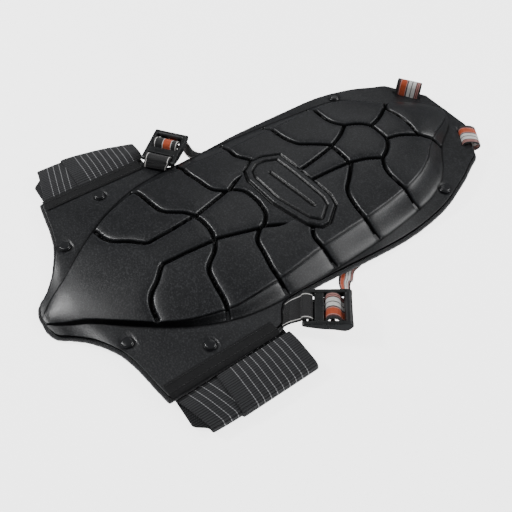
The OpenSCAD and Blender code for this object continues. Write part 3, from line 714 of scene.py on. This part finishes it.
def relief(x, y, rim, crease):
    """Height of the tiles, grooves and panel over the plain plate, how much edge wear and painted highlight
    each point gets, and how much painted shade.
    """
    ax = np.abs(x)
    on_dome = ease((rim - ax) / DOME_FADE)
    edge, _ = line_distance(x, y, PANEL + PANEL[:1])
    within = inside(x, y, PANEL)
    d = np.where(within, PANEL_CLEAR, groove_distance(ax, y))
    z = -GROOVE_DEPTH * cutter(d, *GROOVE_CUT) + BEAD_RISE * bell(d, BEAD_W)
    z = z - PILLOW_DROP * np.exp(-np.maximum(d - PILLOW_EDGE, 0) / PILLOW_W)
    # The step from the top down to the wall
    ends = ease((y - TAIL_Y) / TAIL_RUN) * ease((NECK_Y - y) / NECK_RUN)
    past = ax - crease
    wall = np.clip(past / np.maximum(1, rim - crease), 0, 1)
    step = -STEP_DROP * ease(past / STEP_W) * (1 - wall)
    step = step - STEP_LINE * bell(past - STEP_LINE_AT, STEP_LINE_W)
    z = z + np.where(d > GROOVE_NEAR, step, GROOVE_STEP * step) * ends
    # The raised panel
    outline = cutter(edge, *OUTLINE_CUT)
    inner = np.where(within, cutter(np.abs(edge - INNER_AT), *INNER_CUT), 0)
    recess = cutter(line_distance(x, y, RECESS)[0], *RECESS_CUT)
    rise = np.where(within, PANEL_RISE * ease(edge / PANEL_W), 0)
    z = z + (rise - OUTLINE_DEPTH * outline - INNER_DEPTH * inner - RECESS_DEPTH * recess)
    z = z * on_dome
    # Seats of the rivets and slots of the straps, on the flange
    for at in RIVETS.values():
        z = z - SEAT_DEPTH * cutter(np.hypot(ax - at[0], y - at[1]), *SEAT_CUT)
    along = (ax - SLOT_AT[0]) * SLOT_DIR[0] + (y - SLOT_AT[1]) * SLOT_DIR[1]
    aside = (ax - SLOT_AT[0]) * SLOT_OUT[0] + (y - SLOT_AT[1]) * SLOT_OUT[1]
    z = z - SLOT_DEPTH * cutter(np.abs(aside), *SLOT_ACROSS) * cutter(np.abs(along), *SLOT_ALONG)
    # Looks: pale on the tiles' edges, partly wear and partly a painted highlight on the lips and the step;
    # painted shade in the cuts, just below the step, at the foot of the wall and down the wall towards the
    # tail
    wear_and_highlight = 0.8 * bell(d - 3.0, 0.8) + 0.8 * bell(past + 0.5, 0.7) * ends
    painted_shade = np.maximum(cutter(d, 1.2, 1.5), 0.75 * np.maximum(outline, np.maximum(inner, recess)))
    painted_shade = np.maximum(painted_shade, 0.7 * bell(past - 1.0, 0.7) * ends) * on_dome
    # Painted shade at the foot of the wall, and over the whole wall towards the tail
    root = ROOT_DARK * bell(ax - rim + 0.3, ROOT_W) * ease((NECK_Y - np.abs(y)) / 12)
    tail = ease((past - 0.3) / 0.6) * ease((rim + 0.8 - ax) / 0.8)
    root = np.maximum(root, tail * TAIL_DARK * ease((TAIL_DARK_Y - y) / TAIL_FADE))
    return z, np.clip(wear_and_highlight * on_dome, 0, 1), np.clip(np.maximum(painted_shade, root), 0, 1)


PLATE_ROWS, TOP_N, WALL_N, FLANGE_N, ROUND_N = 640, 104, 26, 17, 5
PLATE_CORNER = 1.1
# Columns of the underside: shares of the flange, distances in from the rim, then shares of the rim
LOW_FLANGE, LOW_WALL, LOW_TOP = (1, 0.5, 0), (4, 9), (0.24, 0.12, 0)
LOW_DROP = 2.6


def plate_skin():
    y = np.linspace(-1, 1, PLATE_ROWS) * (PAD_L / 2 - EDGE_INSET)
    edge = inset_half(y, EDGE_INSET)
    rim = np.minimum(curve(RIM, y), edge - 1)
    crease = np.minimum(curve(CREASE, y), rim - 0.5)
    corner = np.minimum(PLATE_CORNER, 0.4 * (edge - rim))
    edge, rim, crease, corner = (v[:, None] for v in (edge, rim, crease, corner))
    shares = [np.linspace(0, 1, n + 1)[None, :] for n in (TOP_N, WALL_N, FLANGE_N, ROUND_N)]
    half = np.concatenate([
        crease * shares[0], mix(crease, rim, shares[1][:, 1:]), mix(rim, edge - corner, shares[2][:, 1:]),
        edge - corner + corner * np.sin(math.pi / 2 * shares[3][:, 1:])], axis=1)
    x = np.concatenate([-half[:, :0:-1], half], axis=1)
    yy = np.repeat(y[:, None], x.shape[1], axis=1)
    lift, wear_and_highlight, painted_shade = relief(x, yy, rim, crease)
    past = np.clip((np.abs(x) - (edge - corner)) / corner, 0, 1)
    # Painted shade on the rounded outer edge, which also damps its reflection
    painted_shade = np.maximum(painted_shade, ease(past / 0.3))
    top = np.stack([x, yy, plate_z(x, yy) + lift - corner * (1 - np.sqrt(1 - past ** 2))], -1)
    # The underside follows the plain plate, deeper under the grooves
    low_half = np.concatenate([mix(rim, edge, s) for s in LOW_FLANGE]
                              + [np.maximum(0.3 * rim, rim - s) for s in LOW_WALL]
                              + [rim * s for s in LOW_TOP], axis=1)
    low_x = np.concatenate([-low_half, low_half[:, -2::-1]], axis=1)
    low_y = np.repeat(y[:, None], low_x.shape[1], axis=1)
    deeper = LOW_DROP * ease((rim - np.abs(low_x)) / 7)
    low = np.stack([low_x, low_y, plate_z(low_x, low_y) - PLATE_T - deeper], -1)
    n, m = x.shape[1], low_x.shape[1]
    first = PLATE_ROWS * n
    faces = grid_faces(PLATE_ROWS, n) + grid_faces(PLATE_ROWS, m, start=first, flip=True)
    for i in range(PLATE_ROWS - 1):
        for a, b in ((0, 0), (n - 1, m - 1)):
            quad = [i * n + a, (i + 1) * n + a, first + (i + 1) * m + b, first + i * m + b]
            faces.append(quad if a == 0 else quad[::-1])
    for i in (0, PLATE_ROWS - 1):
        ring = [i * n + j for j in range(n)] + [first + i * m + j for j in range(m - 1, -1, -1)]
        faces.append(ring[::-1] if i == 0 else ring)
    verts = np.concatenate([top.reshape(-1, 3), low.reshape(-1, 3)])
    obj = piece("plate_skin", verts, faces, skin, sharp=62)
    # Masks for the material: edge wear with painted highlight, and painted shade
    for label, values in (("wear_and_highlight", wear_and_highlight), ("painted_shade", painted_shade)):
        mark = obj.data.attributes.new(label, "FLOAT", "POINT")
        values = np.concatenate([values.ravel(), np.zeros(PLATE_ROWS * m)])
        mark.data.foreach_set("value", values.astype(np.float32))
    return obj


fit(plate_skin(), "protector", "moulded_plate", "outer_shell")


FOAM_Y = (-220, 230)
FOAM_ROUND = 1.6
FOAM_DOWN = 3.2


def foam_core():
    """The foam between plate and panel, rounded off at its sides and ends."""
    y = np.linspace(*FOAM_Y, 120)
    half = mix(curve(CREASE, y), curve(RIM, y), 0.45)
    x, y = spread(y, half, 41)
    middle, reach = sum(FOAM_Y) / 2, (FOAM_Y[1] - FOAM_Y[0]) / 2
    round_off = FOAM_ROUND * ((np.abs(x) / half[:, None]) ** 12 + (np.abs(y - middle) / reach) ** 24)
    low = liner_z(x, y) + 2 * LAYER_GAP
    top = np.maximum(plate_z(x, y) - PLATE_T - FOAM_DOWN - round_off, low + 0.6)
    return slab("foam_core", x, y, top, low, foam)


core = fit(foam_core(), "protector", "foam", "impact_foam")


PANEL_INSET = 3.2
CHANNELS = (0.0, 0.24, 0.48, 0.72)
CHANNEL_DEPTH, CHANNEL_W, CHANNEL_SPAN = 1.3, 1.5, 110
CHANNEL_Y = (-236, 222)


def back_panel():
    """Padded panel with sewn channels along its underside."""
    y = np.linspace(-1, 1, 260) * (PAD_L / 2 - PANEL_INSET)
    half = inset_half(y, PANEL_INSET)
    x, y = spread(y, half, 121)
    ax, half, rim = np.abs(x), half[:, None], curve(RIM, y)
    outward = np.clip((ax - rim) / np.maximum(1, curve(PAD_HALF, y) - rim), 0, 1)
    thick = mix(LINER_T, LINER_EDGE_T, outward)
    thin = 0.7 * (1 - np.sqrt(1 - (1 - np.clip((half - ax) / 3, 0, 1)) ** 2))
    share = ax / np.minimum(half, 118)
    seam = np.max([bell((share - at) * CHANNEL_SPAN, CHANNEL_W) for at in CHANNELS], axis=0)
    seam = seam * ease((y - CHANNEL_Y[0]) / 20) * ease((CHANNEL_Y[1] - y) / 20)
    top = liner_z(x, y)
    return slab("back_panel", x, y, top - thin, top - thick + thin + CHANNEL_DEPTH * seam, mesh_cloth)


panel = fit(back_panel(), "protector", "spacer_mesh", "back_liner")


def pad_ring(step):
    """Points round the pad's outline, about one step apart, and the way inward at each."""
    y = np.linspace(-PAD_L / 2, PAD_L / 2, 6000)
    side = np.stack([curve(PAD_HALF, y), y], 1)
    loop = np.concatenate([side, side[::-1] * [-1, 1]])
    loop = np.concatenate([loop, loop[:1]])
    walked = walk(loop)
    n = int(walked[-1] / step)
    s = np.arange(n) * walked[-1] / n
    ring = np.stack([np.interp(s, walked, loop[:, k]) for k in (0, 1)], 1)
    # Small corners are rounded
    for _ in range(3):
        ring = 0.5 * ring + 0.25 * (np.roll(ring, 1, axis=0) + np.roll(ring, -1, axis=0))
    d = unit(np.roll(ring, -2, axis=0) - np.roll(ring, 2, axis=0))
    return ring, np.stack([-d[:, 1], d[:, 0]], 1)


def tape_top(ring):
    """Height of the binding's seat round the pad."""
    return curve(EDGE_Z, np.clip(ring[:, 1], -PAD_L / 2, PAD_L / 2)) - PLATE_T - LAYER_GAP


# Section of the tape: distance in from the outside, and height
TAPE_SECTION = [(4.2, 0), (2.4, 0), (1.1, 0.15), (0.35, 0.6), (0, 1.4), (0.05, 2.0), (0.4, 2.7), (1.1, 3.2),
                (2.1, 3.3), (3.2, 3.1), (4.2, 2.7)]
TAPE_STEP = 1.1


def binding():
    ring, inward = pad_ring(TAPE_STEP)
    base = tape_top(ring) - BINDING_H
    verts, uv = [], []
    for k, (p, d, low) in enumerate(zip(ring, inward, base)):
        wave = 0.12 * math.sin(k * 0.9) + 0.1 * math.sin(k * 0.37)
        for (s, h), g in zip(TAPE_SECTION, walk(TAPE_SECTION)):
            x, y = p + d * max(0.0, s + wave * (s < 3))
            verts.append((x, y, low + h))
            uv.append((g, k * TAPE_STEP))
    faces = grid_faces(len(ring), len(TAPE_SECTION), closed_cols=True, closed_rows=True)
    return piece("edge_tape", verts, faces, tape, uv, sharp=75)


fit(binding(), "protector", "binding_tape", "edge_binding")


def tape_stitching():
    ring, inward = pad_ring(1.5)
    points = np.column_stack([ring + inward * 2.2, tape_top(ring + inward * 2.2) + 0.05])
    return stitches("edge_stitching", [points], length=2.2, gap=1.2, radius=0.28)


fit(tape_stitching(), "protector", "binding_tape")


# ---- Rivets and washers ----

TURNED_STEPS = 48


def circle(at, r, h):
    """Points of a circle of radius r, raised by h over a place."""
    angles = [2 * math.pi * k / TURNED_STEPS for k in range(TURNED_STEPS)]
    return [(at[0] + r * math.cos(a), at[1] + r * math.sin(a), at[2] + h) for a in angles]


def arc(cx, cz, r, a0, a1, n):
    """Points of an arc, in (radius, height)."""
    angles = [math.radians(mix(a0, a1, k / n)) for k in range(n + 1)]
    return [(cx + r * math.cos(a), cz + r * math.sin(a)) for a in angles]


# (radius, height), from the axis round to the axis
HEAD = ([(0, 2.55), (1.8, 2.52), (3.2, 2.4)] + arc(3.7, 0.5, 1.9, 72, 8, 8)
        + [(6.0, 0.55), (6.1, 0.3), (6.0, 0.0), (2.1, 0.0), (2.1, -4.0), (0, -4.0)])
HEAD_LIFT = 0.1
# A washer's section closes on itself
WASHER = [(2.25, 0.1), (2.35, 0), (4.85, 0), (5, 0.15), (5, 0.65), (4.85, 0.8), (2.35, 0.8), (2.25, 0.7)]
WASHER_DOWN = 1.55


def rivet_heads(name, places):
    verts, faces = [], []
    for at in places:
        start = len(verts)
        for r, h in HEAD[1:-1]:
            verts += circle(at, r, h)
        faces += grid_faces(len(HEAD) - 2, TURNED_STEPS, closed_cols=True, start=start)
        for end, ring, back in ((HEAD[0], start, True), (HEAD[-1], len(verts) - TURNED_STEPS, False)):
            middle = len(verts)
            verts.append((at[0], at[1], at[2] + end[1]))
            for k in range(TURNED_STEPS):
                tri = [middle, ring + k, ring + (k + 1) % TURNED_STEPS]
                faces.append(tri if back else tri[::-1])
    return piece(name, verts, faces, rivet_plastic, sharp=50)


def washer_rings(name, places):
    verts, faces = [], []
    for at in places:
        faces += grid_faces(TURNED_STEPS, len(WASHER), closed_cols=True, closed_rows=True, start=len(verts))
        verts += [p for ring in zip(*(circle(at, r, h) for r, h in WASHER)) for p in ring]
    return piece(name, verts, faces, steel, sharp=50)


for node_name, (x, y) in RIVETS.items():
    top = plate_z(x, y)
    above = [(s * x, y, top + HEAD_LIFT) for s in SIDES.values()]
    below = [(s * x, y, top - PLATE_T - WASHER_DOWN) for s in SIDES.values()]
    heads = rivet_heads(node_name.replace("rivets", "rivet_heads"), above)
    fit(heads, "protector", "rivet_plastic", node_name)
    rings = washer_rings(node_name.replace("rivets", "washer_rings"), below)
    fit(rings, "protector", "washer_steel", node_name.replace("rivets", "washers"))


# ---- Waist bands ----

SEAM_X, SEAM_W = 133.2, 12
SEAM_Y = (-200, -88)
SEAM_T, SEAM_LIFT = 1.0, 0.8
SEAM_ROWS = 60
# How far the strip runs past the wing, and how steeply it drops there
SEAM_DRAPE, SEAM_SLOPE = 3.0, 0.55
ROOT_X = 138
BAND_T = 1.6
FOLD_R = 5.8
NEST = 2
FOLD_Z = BAND_T / 2 + FOLD_R
RETURN_END = 72
UPPER = {"y": (-79, -157), "inner": 0, "rise": 0}
LOWER = {"y": (-150, -196.5), "inner": NEST, "rise": 11}
FOLD_X = {
    "right": [(-200, 178.6), (-160, 180.6), (-79, 180.6)],
    "left": [(-200, 187.5), (-158, 186.2), (-120, 179), (-79, 165)],
}
CROWN = [(0, -3.2), (0.2, -1), (0.45, 0.5), (0.75, 0.5), (1, 0)]
ACROSS_N, TOP_ROWS, FOLD_ROWS = 40, 46, 25
# Share of the returned layer in which it settles to its own line, and the length its weave is laid over
SETTLE = 0.12
RETURN_WEAVE = 105
WAVE_H, WAVE_RATE = 0.28, 0.11


def band(side, part, spec, cloth):
    """Elastic band in three pieces: its crowned top, its fold and the layer that runs back under it."""
    y0, y1 = spec["y"]
    sign = SIDES[side]
    s = np.linspace(0, 1, ACROSS_N)
    across = s * (y0 - y1)
    back_y = mix(y0, y1, s)
    y = back_y + spec["rise"]
    end = curve(FOLD_X[side], y) - FOLD_R
    r = FOLD_R - spec["inner"]
    mean_end = float(np.mean(end))
    node = f"{side}_{part}"

    f = np.linspace(0, 1, TOP_ROWS)[:, None]
    x = mix(ROOT_X, end, f)
    wave = WAVE_H * np.sin(across * WAVE_RATE + 5 * f + sign) * np.sin(math.pi * f)
    top = np.stack([sign * x, back_y + spec["rise"] * f, FOLD_Z + r + curve(CROWN, f) + wave], -1)
    length = mean_end - ROOT_X
    top = ribbon(f"{node}_band_cloth", top, BAND_T, cloth, across, length * f[:, 0])

    a = np.radians(np.linspace(90, -90, FOLD_ROWS))[:, None]
    turn = np.broadcast_arrays(sign * (end + r * np.cos(a)), y, FOLD_Z + r * np.sin(a))
    walked = length + r * (math.pi / 2 - a[:, 0])
    turn = ribbon(f"{node}_fold_cloth", np.stack(turn, -1), BAND_T, cloth, across, walked)

    # The layer underneath is straight, so it takes up the rise of the top over the fold's own width
    g = np.concatenate([np.linspace(0, SETTLE, 10), np.linspace(SETTLE, 1, 50)[1:]])[:, None]
    back = np.broadcast_arrays(sign * mix(end, RETURN_END, g), mix(y, back_y, ease(g / SETTLE)), FOLD_Z - r)
    walked = length + r * math.pi + RETURN_WEAVE * g[:, 0]
    back = ribbon(f"{node}_return_cloth", np.stack(back, -1), BAND_T, cloth, across, walked)

    fit(top, f"{side}_belt", "elastic", f"{node}_band")
    fit(turn, None, "elastic", f"{node}_fold")
    fit(back, f"{side}_belt_end", "elastic", f"{node}_return")
    x, y = mean_end * MM * sign, y0 * MM
    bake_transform(turn)


def seam_strip(side):
    """Tape over the root of the bands, with a row of stitches along both its edges."""
    sign = SIDES[side]
    y = np.linspace(*SEAM_Y, SEAM_ROWS)
    flat, drape = -SEAM_W * np.linspace(1, 0, 9), SEAM_DRAPE * np.linspace(0, 1, 6)[1:]
    x = SEAM_X + np.concatenate([flat, drape])
    xx, yy = np.meshgrid(x, y)
    drop = SEAM_SLOPE * np.maximum(0, xx - SEAM_X)
    grid = np.stack([sign * xx, yy, plate_z(np.minimum(xx, SEAM_X), yy) + SEAM_LIFT - drop], -1)
    strip = ribbon(f"{side}_seam_strip", grid, SEAM_T, seam_tape, x - x[0], y - y[0])
    fit(strip, "protector", "seam_webbing", f"{side}_belt_seam")
    up = SEAM_LIFT + SEAM_T / 2 + 0.08
    runs = [np.column_stack([np.full(SEAM_ROWS, sign * at), y, plate_z(at, y) + up])
            for at in (SEAM_X - 2, SEAM_X - SEAM_W + 2)]
    thread = stitches(f"{side}_seam_stitching", runs, length=2.8, gap=1.2, radius=0.33)
    fit(thread, "protector", "seam_webbing")


CLOSURE_X, CLOSURE_Y = (RETURN_END + 0.6, RETURN_END - 38.4), (-85, -190.5)
CLOSURE_Z, CLOSURE_T = 0.95, 1.8


def closure(side, kind, material, slot, node):
    x, y = np.linspace(*CLOSURE_X, 30), np.linspace(*CLOSURE_Y, 60)
    xx, yy = np.meshgrid(x, y, indexing="ij")
    grid = np.stack([SIDES[side] * xx, yy, np.full(xx.shape, CLOSURE_Z)], -1)
    patch = ribbon(f"{side}_{kind}", grid, CLOSURE_T, material, y[0] - y, x[0] - x)
    fit(patch, f"{side}_belt_end", slot, node)


for side in SIDES:
    band(side, "upper", UPPER, upper_elastic)
    band(side, "lower", LOWER, lower_elastic)
    seam_strip(side)
closure("left", "hook_patch", hooks, "hook_closure", "left_hook_tab")
closure("right", "loop_patch", loops, "loop_closure", "right_loop_panel")


# ---- Straps and buckles ----

PIVOT = {"right": np.array([130, -56, 18.0]), "left": np.array([115, -71, 18.5])}
BAR_DIR = np.append(unit([0.79, -0.61]), 0)
FRAME_DIR = np.array([-BAR_DIR[1], BAR_DIR[0], 0])
FRAME_TILT = math.radians(3)
BAR_R = 2.2
BUCKLE_L, BUCKLE_W = 40, 34.5
LOCK_BAR = 25.5


def in_buckle(side, u, v, w):
    """Place in the right-hand frame of a buckle: u along its bars, v outward, w up."""
    return (PIVOT[side] + BAR_DIR * u + FRAME_DIR * (v * math.cos(FRAME_TILT) - w * math.sin(FRAME_TILT))
            + np.array([0, 0, v * math.sin(FRAME_TILT) + w * math.cos(FRAME_TILT)]))


def on_side(side, path, turn):
    """A right-hand path of (middle, half vector), mirrored for the left. turn swaps the cloth's edges."""
    return [(m * mirror(side), h * mirror(side) * turn) for m, h in path]


LOOP_HALF = np.append(SLOT_DIR, 0) * STRAP_W / 2
# Each top loop as (outward from its slot, height)
LOOP = {
    "right": [(-23, 0.9), (-14, 1.6), (-4, 3.1), (6, 4.4), (13, 5.6), (17.5, 8), (19.3, 11.5), (17.8, 15),
              (13, 17.4), (7, 18.2), (2.4, 17.6), (0.3, 15.4), (0, 12), (0, 8)],
    "left": [(-23, 0.9), (-14, 1.6), (-4, 3.1), (6, 4.4), (12.5, 6), (16.2, 10), (16.4, 16), (14.2, 23),
             (10, 28.5), (5.5, 29.6), (2, 26.5), (0.6, 21), (0, 15), (0, 8)],
}
SHOULDER = {
    "right": [(36.2, 215.5), (35.5, 205), (42, 180), (50, 140), (58, 100), (68, 70), (84, 46), (98, 30)],
    "left": [(36.2, 215.5), (35.5, 205), (42, 170), (50, 120), (58, 70), (68, 30), (84, 4), (96, -9)],
}
STRAP_Z = STRAP_T / 2 + 0.1
# Each row of a link is (middle, direction across, share of the strap's width)
LINK = {
    "right": [((99.5, 28.6, STRAP_Z), (0.8, 0.6, 0), 1), ((104.5, 21.5, STRAP_Z), (0.86, 0.5, 0), 0.8),
              ((109.5, 14.5, 0.86), (0.88, 0.47, 0), 0.55), ((118, 5.6, 1.1), (0.78, 0.5, 0), 0.5),
              ((124, -1, 6), (0.5, 0.45, 0.6), 0.5), ((132.5, -7, 8.6), (0.25, 0.25, 0.93), 0.5),
              ((142, -12, 9.4), (0.15, 0.1, 0.95), 0.53), ((150, -17.5, 10.4), (0.5, -0.3, 0.8), 0.53)],
    "left": [((97, -10.5, STRAP_Z), (0.73, 0.68, 0), 1), ((102.5, -16, STRAP_Z), (0.78, 0.62, 0), 0.8),
             ((108.5, -21, 0.86), (0.85, 0.52, 0), 0.55), ((117, -26.2, 1.5), (0.78, 0.5, 0.06), 0.5),
             ((122.5, -29, 6), (0.5, 0.45, 0.6), 0.5), ((129.5, -30, 8.6), (0.3, 0.3, 0.9), 0.5),
             ((136.5, -31.6, 9.6), (0.5, -0.1, 0.8), 0.53)],
}
# Paths in the buckle, as (v, w)
TURN = [(39.6, -5.3), (39, -5.2), (35.2, -4.6), (32.9, -1.2), (30.6, 3), (26, 5.3), (21.8, 3.6), (20.2, 0.2),
        (19.6, -3), (19, -4.5)]
TAIL = [(18.9, -4.6), (15.5, -6.2), (11, -7.3), (6.5, -8.2), (3.5, -8.8)]
OVER_BAR = BAR_R + STRAP_T / 2 + 0.5
WEB_OVER = [(-OVER_BAR, 0.6), (-2, OVER_BAR), (1.4, OVER_BAR + 1), (4.8, OVER_BAR), (6.8, 1.4), (7.2, -2.4)]
WEB_ROOT = {"right": np.array([121.5, -72.5, 9.8]), "left": np.array([112.5, -77, 12.4])}
WEB_ROOT_HALF = np.append(unit([0.74, -0.67]), 0) * (STRAP_W - 2) / 2
WEB_HALF = BAR_DIR * STRAP_W / 2
# Where the link and the turn web meet, past the buckle's end and below it
LINK_PAST, LINK_BELOW = 1.2, -5.4


def fitted_web(side, name, path, turn, material, step, body, slot, node):
    """Webbing on a side, from a right-hand path."""
    web = strap(f"{side}_{name}", on_side(side, path, turn), material, step)
    return fit(web, body, slot, f"{side}_{node}")


def buckle_path(side, route):
    """Path of webbing round the buckle's bars, from a route of (v, w)."""
    return [(in_buckle(side, 0, v, w), WEB_HALF) for v, w in route]


def shoulder_strap(side):
    """The strap from its slot at the shoulder, under the pad, to the buckle."""
    turn, body, slot = SIDES[side], f"{side}_buckle", "striped_webbing"
    loop = [(np.append(SLOT_AT + SLOT_OUT * d, z), LOOP_HALF) for d, z in LOOP[side]]
    fitted_web(side, "loop_web", loop, turn, striped_web, 1.0, "protector", slot, "top_loop")
    route = np.array(SHOULDER[side], float)
    d = unit(np.gradient(route, axis=0))
    flat = [(np.append(p, STRAP_Z), np.array([-t[1], t[0], 0]) * STRAP_W / 2) for p, t in zip(route, d)]
    fitted_web(side, "shoulder_web", flat, 1, striped_web, 4.0, "protector", slot, "shoulder_strap")
    link_cloth, turn_cloth = (striped_web, striped_web) if side == "right" else (plain_web, block_web)
    link = [(m, unit(h) * share * STRAP_W / 2) for m, h, share in LINK[side]]
    link.append((in_buckle(side, 0, BUCKLE_L + LINK_PAST, LINK_BELOW), WEB_HALF))
    link = fitted_web(side, "link_web", link, turn, link_cloth, 1.2, None, slot, "strap_link")
    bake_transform(link)
    fitted_web(side, "turn_web", buckle_path(side, TURN), -1, turn_cloth, 0.8, body, slot, "strap_turn")
    tail = buckle_path(side, TAIL)
    fitted_web(side, "tail_web", tail, turn, plain_web, 0.8, body, "black_webbing", "strap_tail")


# Rows of tacking across each anchor web: how many, where they start and how far apart along and up
TACK_ROWS, TACK_AT, TACK_STEP = 3, (1.6, 0.95), (1.5, 0.55)


def anchor_web(side):
    """The short web sewn to the pad that holds a buckle by its first bar."""
    root, turn, slot = WEB_ROOT[side], SIDES[side], "black_webbing"
    over = buckle_path(side, WEB_OVER)
    first = over[0][0]
    rising = (mix(root, first, 0.4) + np.array([0, 0, 1.5]), mix(WEB_ROOT_HALF, WEB_HALF, 0.4))
    path = [(root, WEB_ROOT_HALF), rising] + over
    fitted_web(side, "anchor_loop", path, turn, plain_web, 0.8, "protector", slot, "anchor_web")
    runs = []
    for k in range(TACK_ROWS):
        along, up = (at + step * k for at, step in zip(TACK_AT, TACK_STEP))
        middle = root + unit(first - root) * along + np.array([0, 0, up])
        runs.append(np.array([middle - WEB_ROOT_HALF * 0.9, middle + WEB_ROOT_HALF * 0.9]) * mirror(side))
    fit(stitches(f"{side}_anchor_tack", runs, length=1.1, gap=0.25, radius=0.42), "protector", slot)


# The buckle's section, in (v, w): its flat bar, the half sizes of its end bar, and the outline of its
# rails. The rail at the outer end of the bars has the deeper belly, which stands for the outer lip
FLAT_BAR = [(8.8, -1.4), (9.4, -1.9), (17.4, -1.6), (18, 0.6), (17.4, 2.2), (14, 2.7), (9.6, 2.3), (8.8, 1)]
END_BAR = (3.9, 3.5)
RAIL_HALF = 2
RAIL_TOP = [(-2.4, 0), (-1.7, 1.9), (0, 2.6), (8, 2.9), (24, 3.4), (37, 4), (42, 3.7), (44, 1.8),
            (44.2, -0.6)]
SHALLOW_BELLY = [(42.5, -3.0), (37, -3.6), (33, -5.4), (24, -6.2), (12, -5.4), (3, -3.2), (-1.8, -1.7)]
DEEP_BELLY = [(43, -3.2), (40.5, -7), (37, -8.7), (33.5, -8.2), (27, -6.6), (16, -6), (4, -3.4), (-1.8, -1.7)]
# In metres: the grid that joins bars and rails into one skin, before its edges are smoothed
VOXEL = 0.00038


def oval(v, w, rv, rw):
    angles = np.linspace(0, 2 * math.pi, 24, endpoint=False)
    return [(v + rv * math.cos(a), w + rw * math.sin(a)) for a in angles]


def buckle(side):
    """Ladder lock moulded in one: bars and rails run into each other with small fillets."""
    half = BUCKLE_W / 2
    solids = [
        (-half, half, oval(0, 0, BAR_R, BAR_R)),
        (-half, half, oval(LOCK_BAR, 0.6, BAR_R, BAR_R)),
        (1 - half, half - 1, oval(BUCKLE_L, 0.5, *END_BAR)),
        (-half, half, FLAT_BAR),
        (-half - RAIL_HALF, -half + RAIL_HALF, RAIL_TOP + SHALLOW_BELLY),
        (half - RAIL_HALF, half + RAIL_HALF, RAIL_TOP + DEEP_BELLY),
    ]
    verts, faces = [], []
    for u0, u1, outline in solids:
        faces += tube_faces(2, len(outline), len(verts))
        verts += [(u, v, w) for u in (u0, u1) for v, w in outline]
    shape = piece("buckle_draft", verts, faces, buckle_plastic)
    remesh = shape.modifiers.new("remesh", "REMESH")
    remesh.mode = "VOXEL"
    remesh.voxel_size = VOXEL
    soften = shape.modifiers.new("soften", "SMOOTH")
    soften.factor = 0.5
    soften.iterations = 6
    solved = shape.evaluated_get(bpy.context.evaluated_depsgraph_get()).to_mesh()
    co = np.empty(3 * len(solved.vertices))
    solved.vertices.foreach_get("co", co)
    quads = [list(p.vertices) for p in solved.polygons]
    shape.to_mesh_clear()
    bpy.data.objects.remove(shape)
    placed = np.array([in_buckle(side, *p) for p in co.reshape(-1, 3) / MM]) * mirror(side)
    moulding = piece(f"{side}_buckle_mould", placed, quads, buckle_plastic)
    fit(moulding, f"{side}_buckle", "buckle_plastic", f"{side}_buckle_frame")


for side in SIDES:
    shoulder_strap(side)
    anchor_web(side)
    buckle(side)


# ---- Floor and light ----

FLOOR_HALF = 4.0
FLOOR_GLOW = 3.0
FLOOR_Z = -0.0006


def floor():
    """A pale sheet that also glows, and that glossy surfaces don't mirror."""
    corners = [(x * FLOOR_HALF, y * FLOOR_HALF, 0) for x, y in ((-1, -1), (1, -1), (1, 1), (-1, 1))]
    mesh = bpy.data.meshes.new("floor")
    mesh.from_pydata(corners, [], [[0, 1, 2, 3]])
    obj = bpy.data.objects.new("floor", mesh)
    obj.location.z = FLOOR_Z
    obj.visible_glossy = False
    bpy.context.scene.collection.objects.link(obj)
    m, _, surface = shader("floor_paper", (0.86, 0.86, 0.86), 0.9, 0.1)
    surface.inputs["Emission Color"].default_value = (1, 1, 1, 1)
    surface.inputs["Emission Strength"].default_value = FLOOR_GLOW
    mesh.materials.append(m)


def softbox(name, at, aim, size, power):
    """Area light at a place, turned towards its aim."""
    data = bpy.data.lights.new(name, "AREA")
    data.shape = "RECTANGLE"
    data.size, data.size_y = size
    data.energy = power
    obj = bpy.data.objects.new(name, data)
    obj.location = at
    dx, dy, dz = (q - p for p, q in zip(at, aim))
    obj.rotation_euler = (math.atan2(math.hypot(dx, dy), -dz), 0, math.atan2(dy, dx) - math.pi / 2)
    bpy.context.scene.collection.objects.link(obj)


floor()
world = bpy.data.worlds.new("studio")
bpy.context.scene.world = world
world.use_nodes = True
sky = world.node_tree.nodes["Background"]
sky.inputs["Color"].default_value = (0.95, 0.97, 1.0, 1)
sky.inputs["Strength"].default_value = 0.16
softbox("neck_side", (0.55, 1.05, 1.05), (0, 0.1, 0.02), (1.0, 0.7), 15)
softbox("over_tail", (-0.55, -0.6, 1.35), (0, -0.2, 0.02), (0.5, 0.4), 3)
softbox("tile_sheen", (-0.85, 0.75, 1.1), (0, 0.08, 0.02), (0.7, 0.6), 1.3)
softbox("tail_glint", (-0.86, -0.82, 0.97), (-0.01, -0.24, 0.02), (0.26, 0.22), 14)
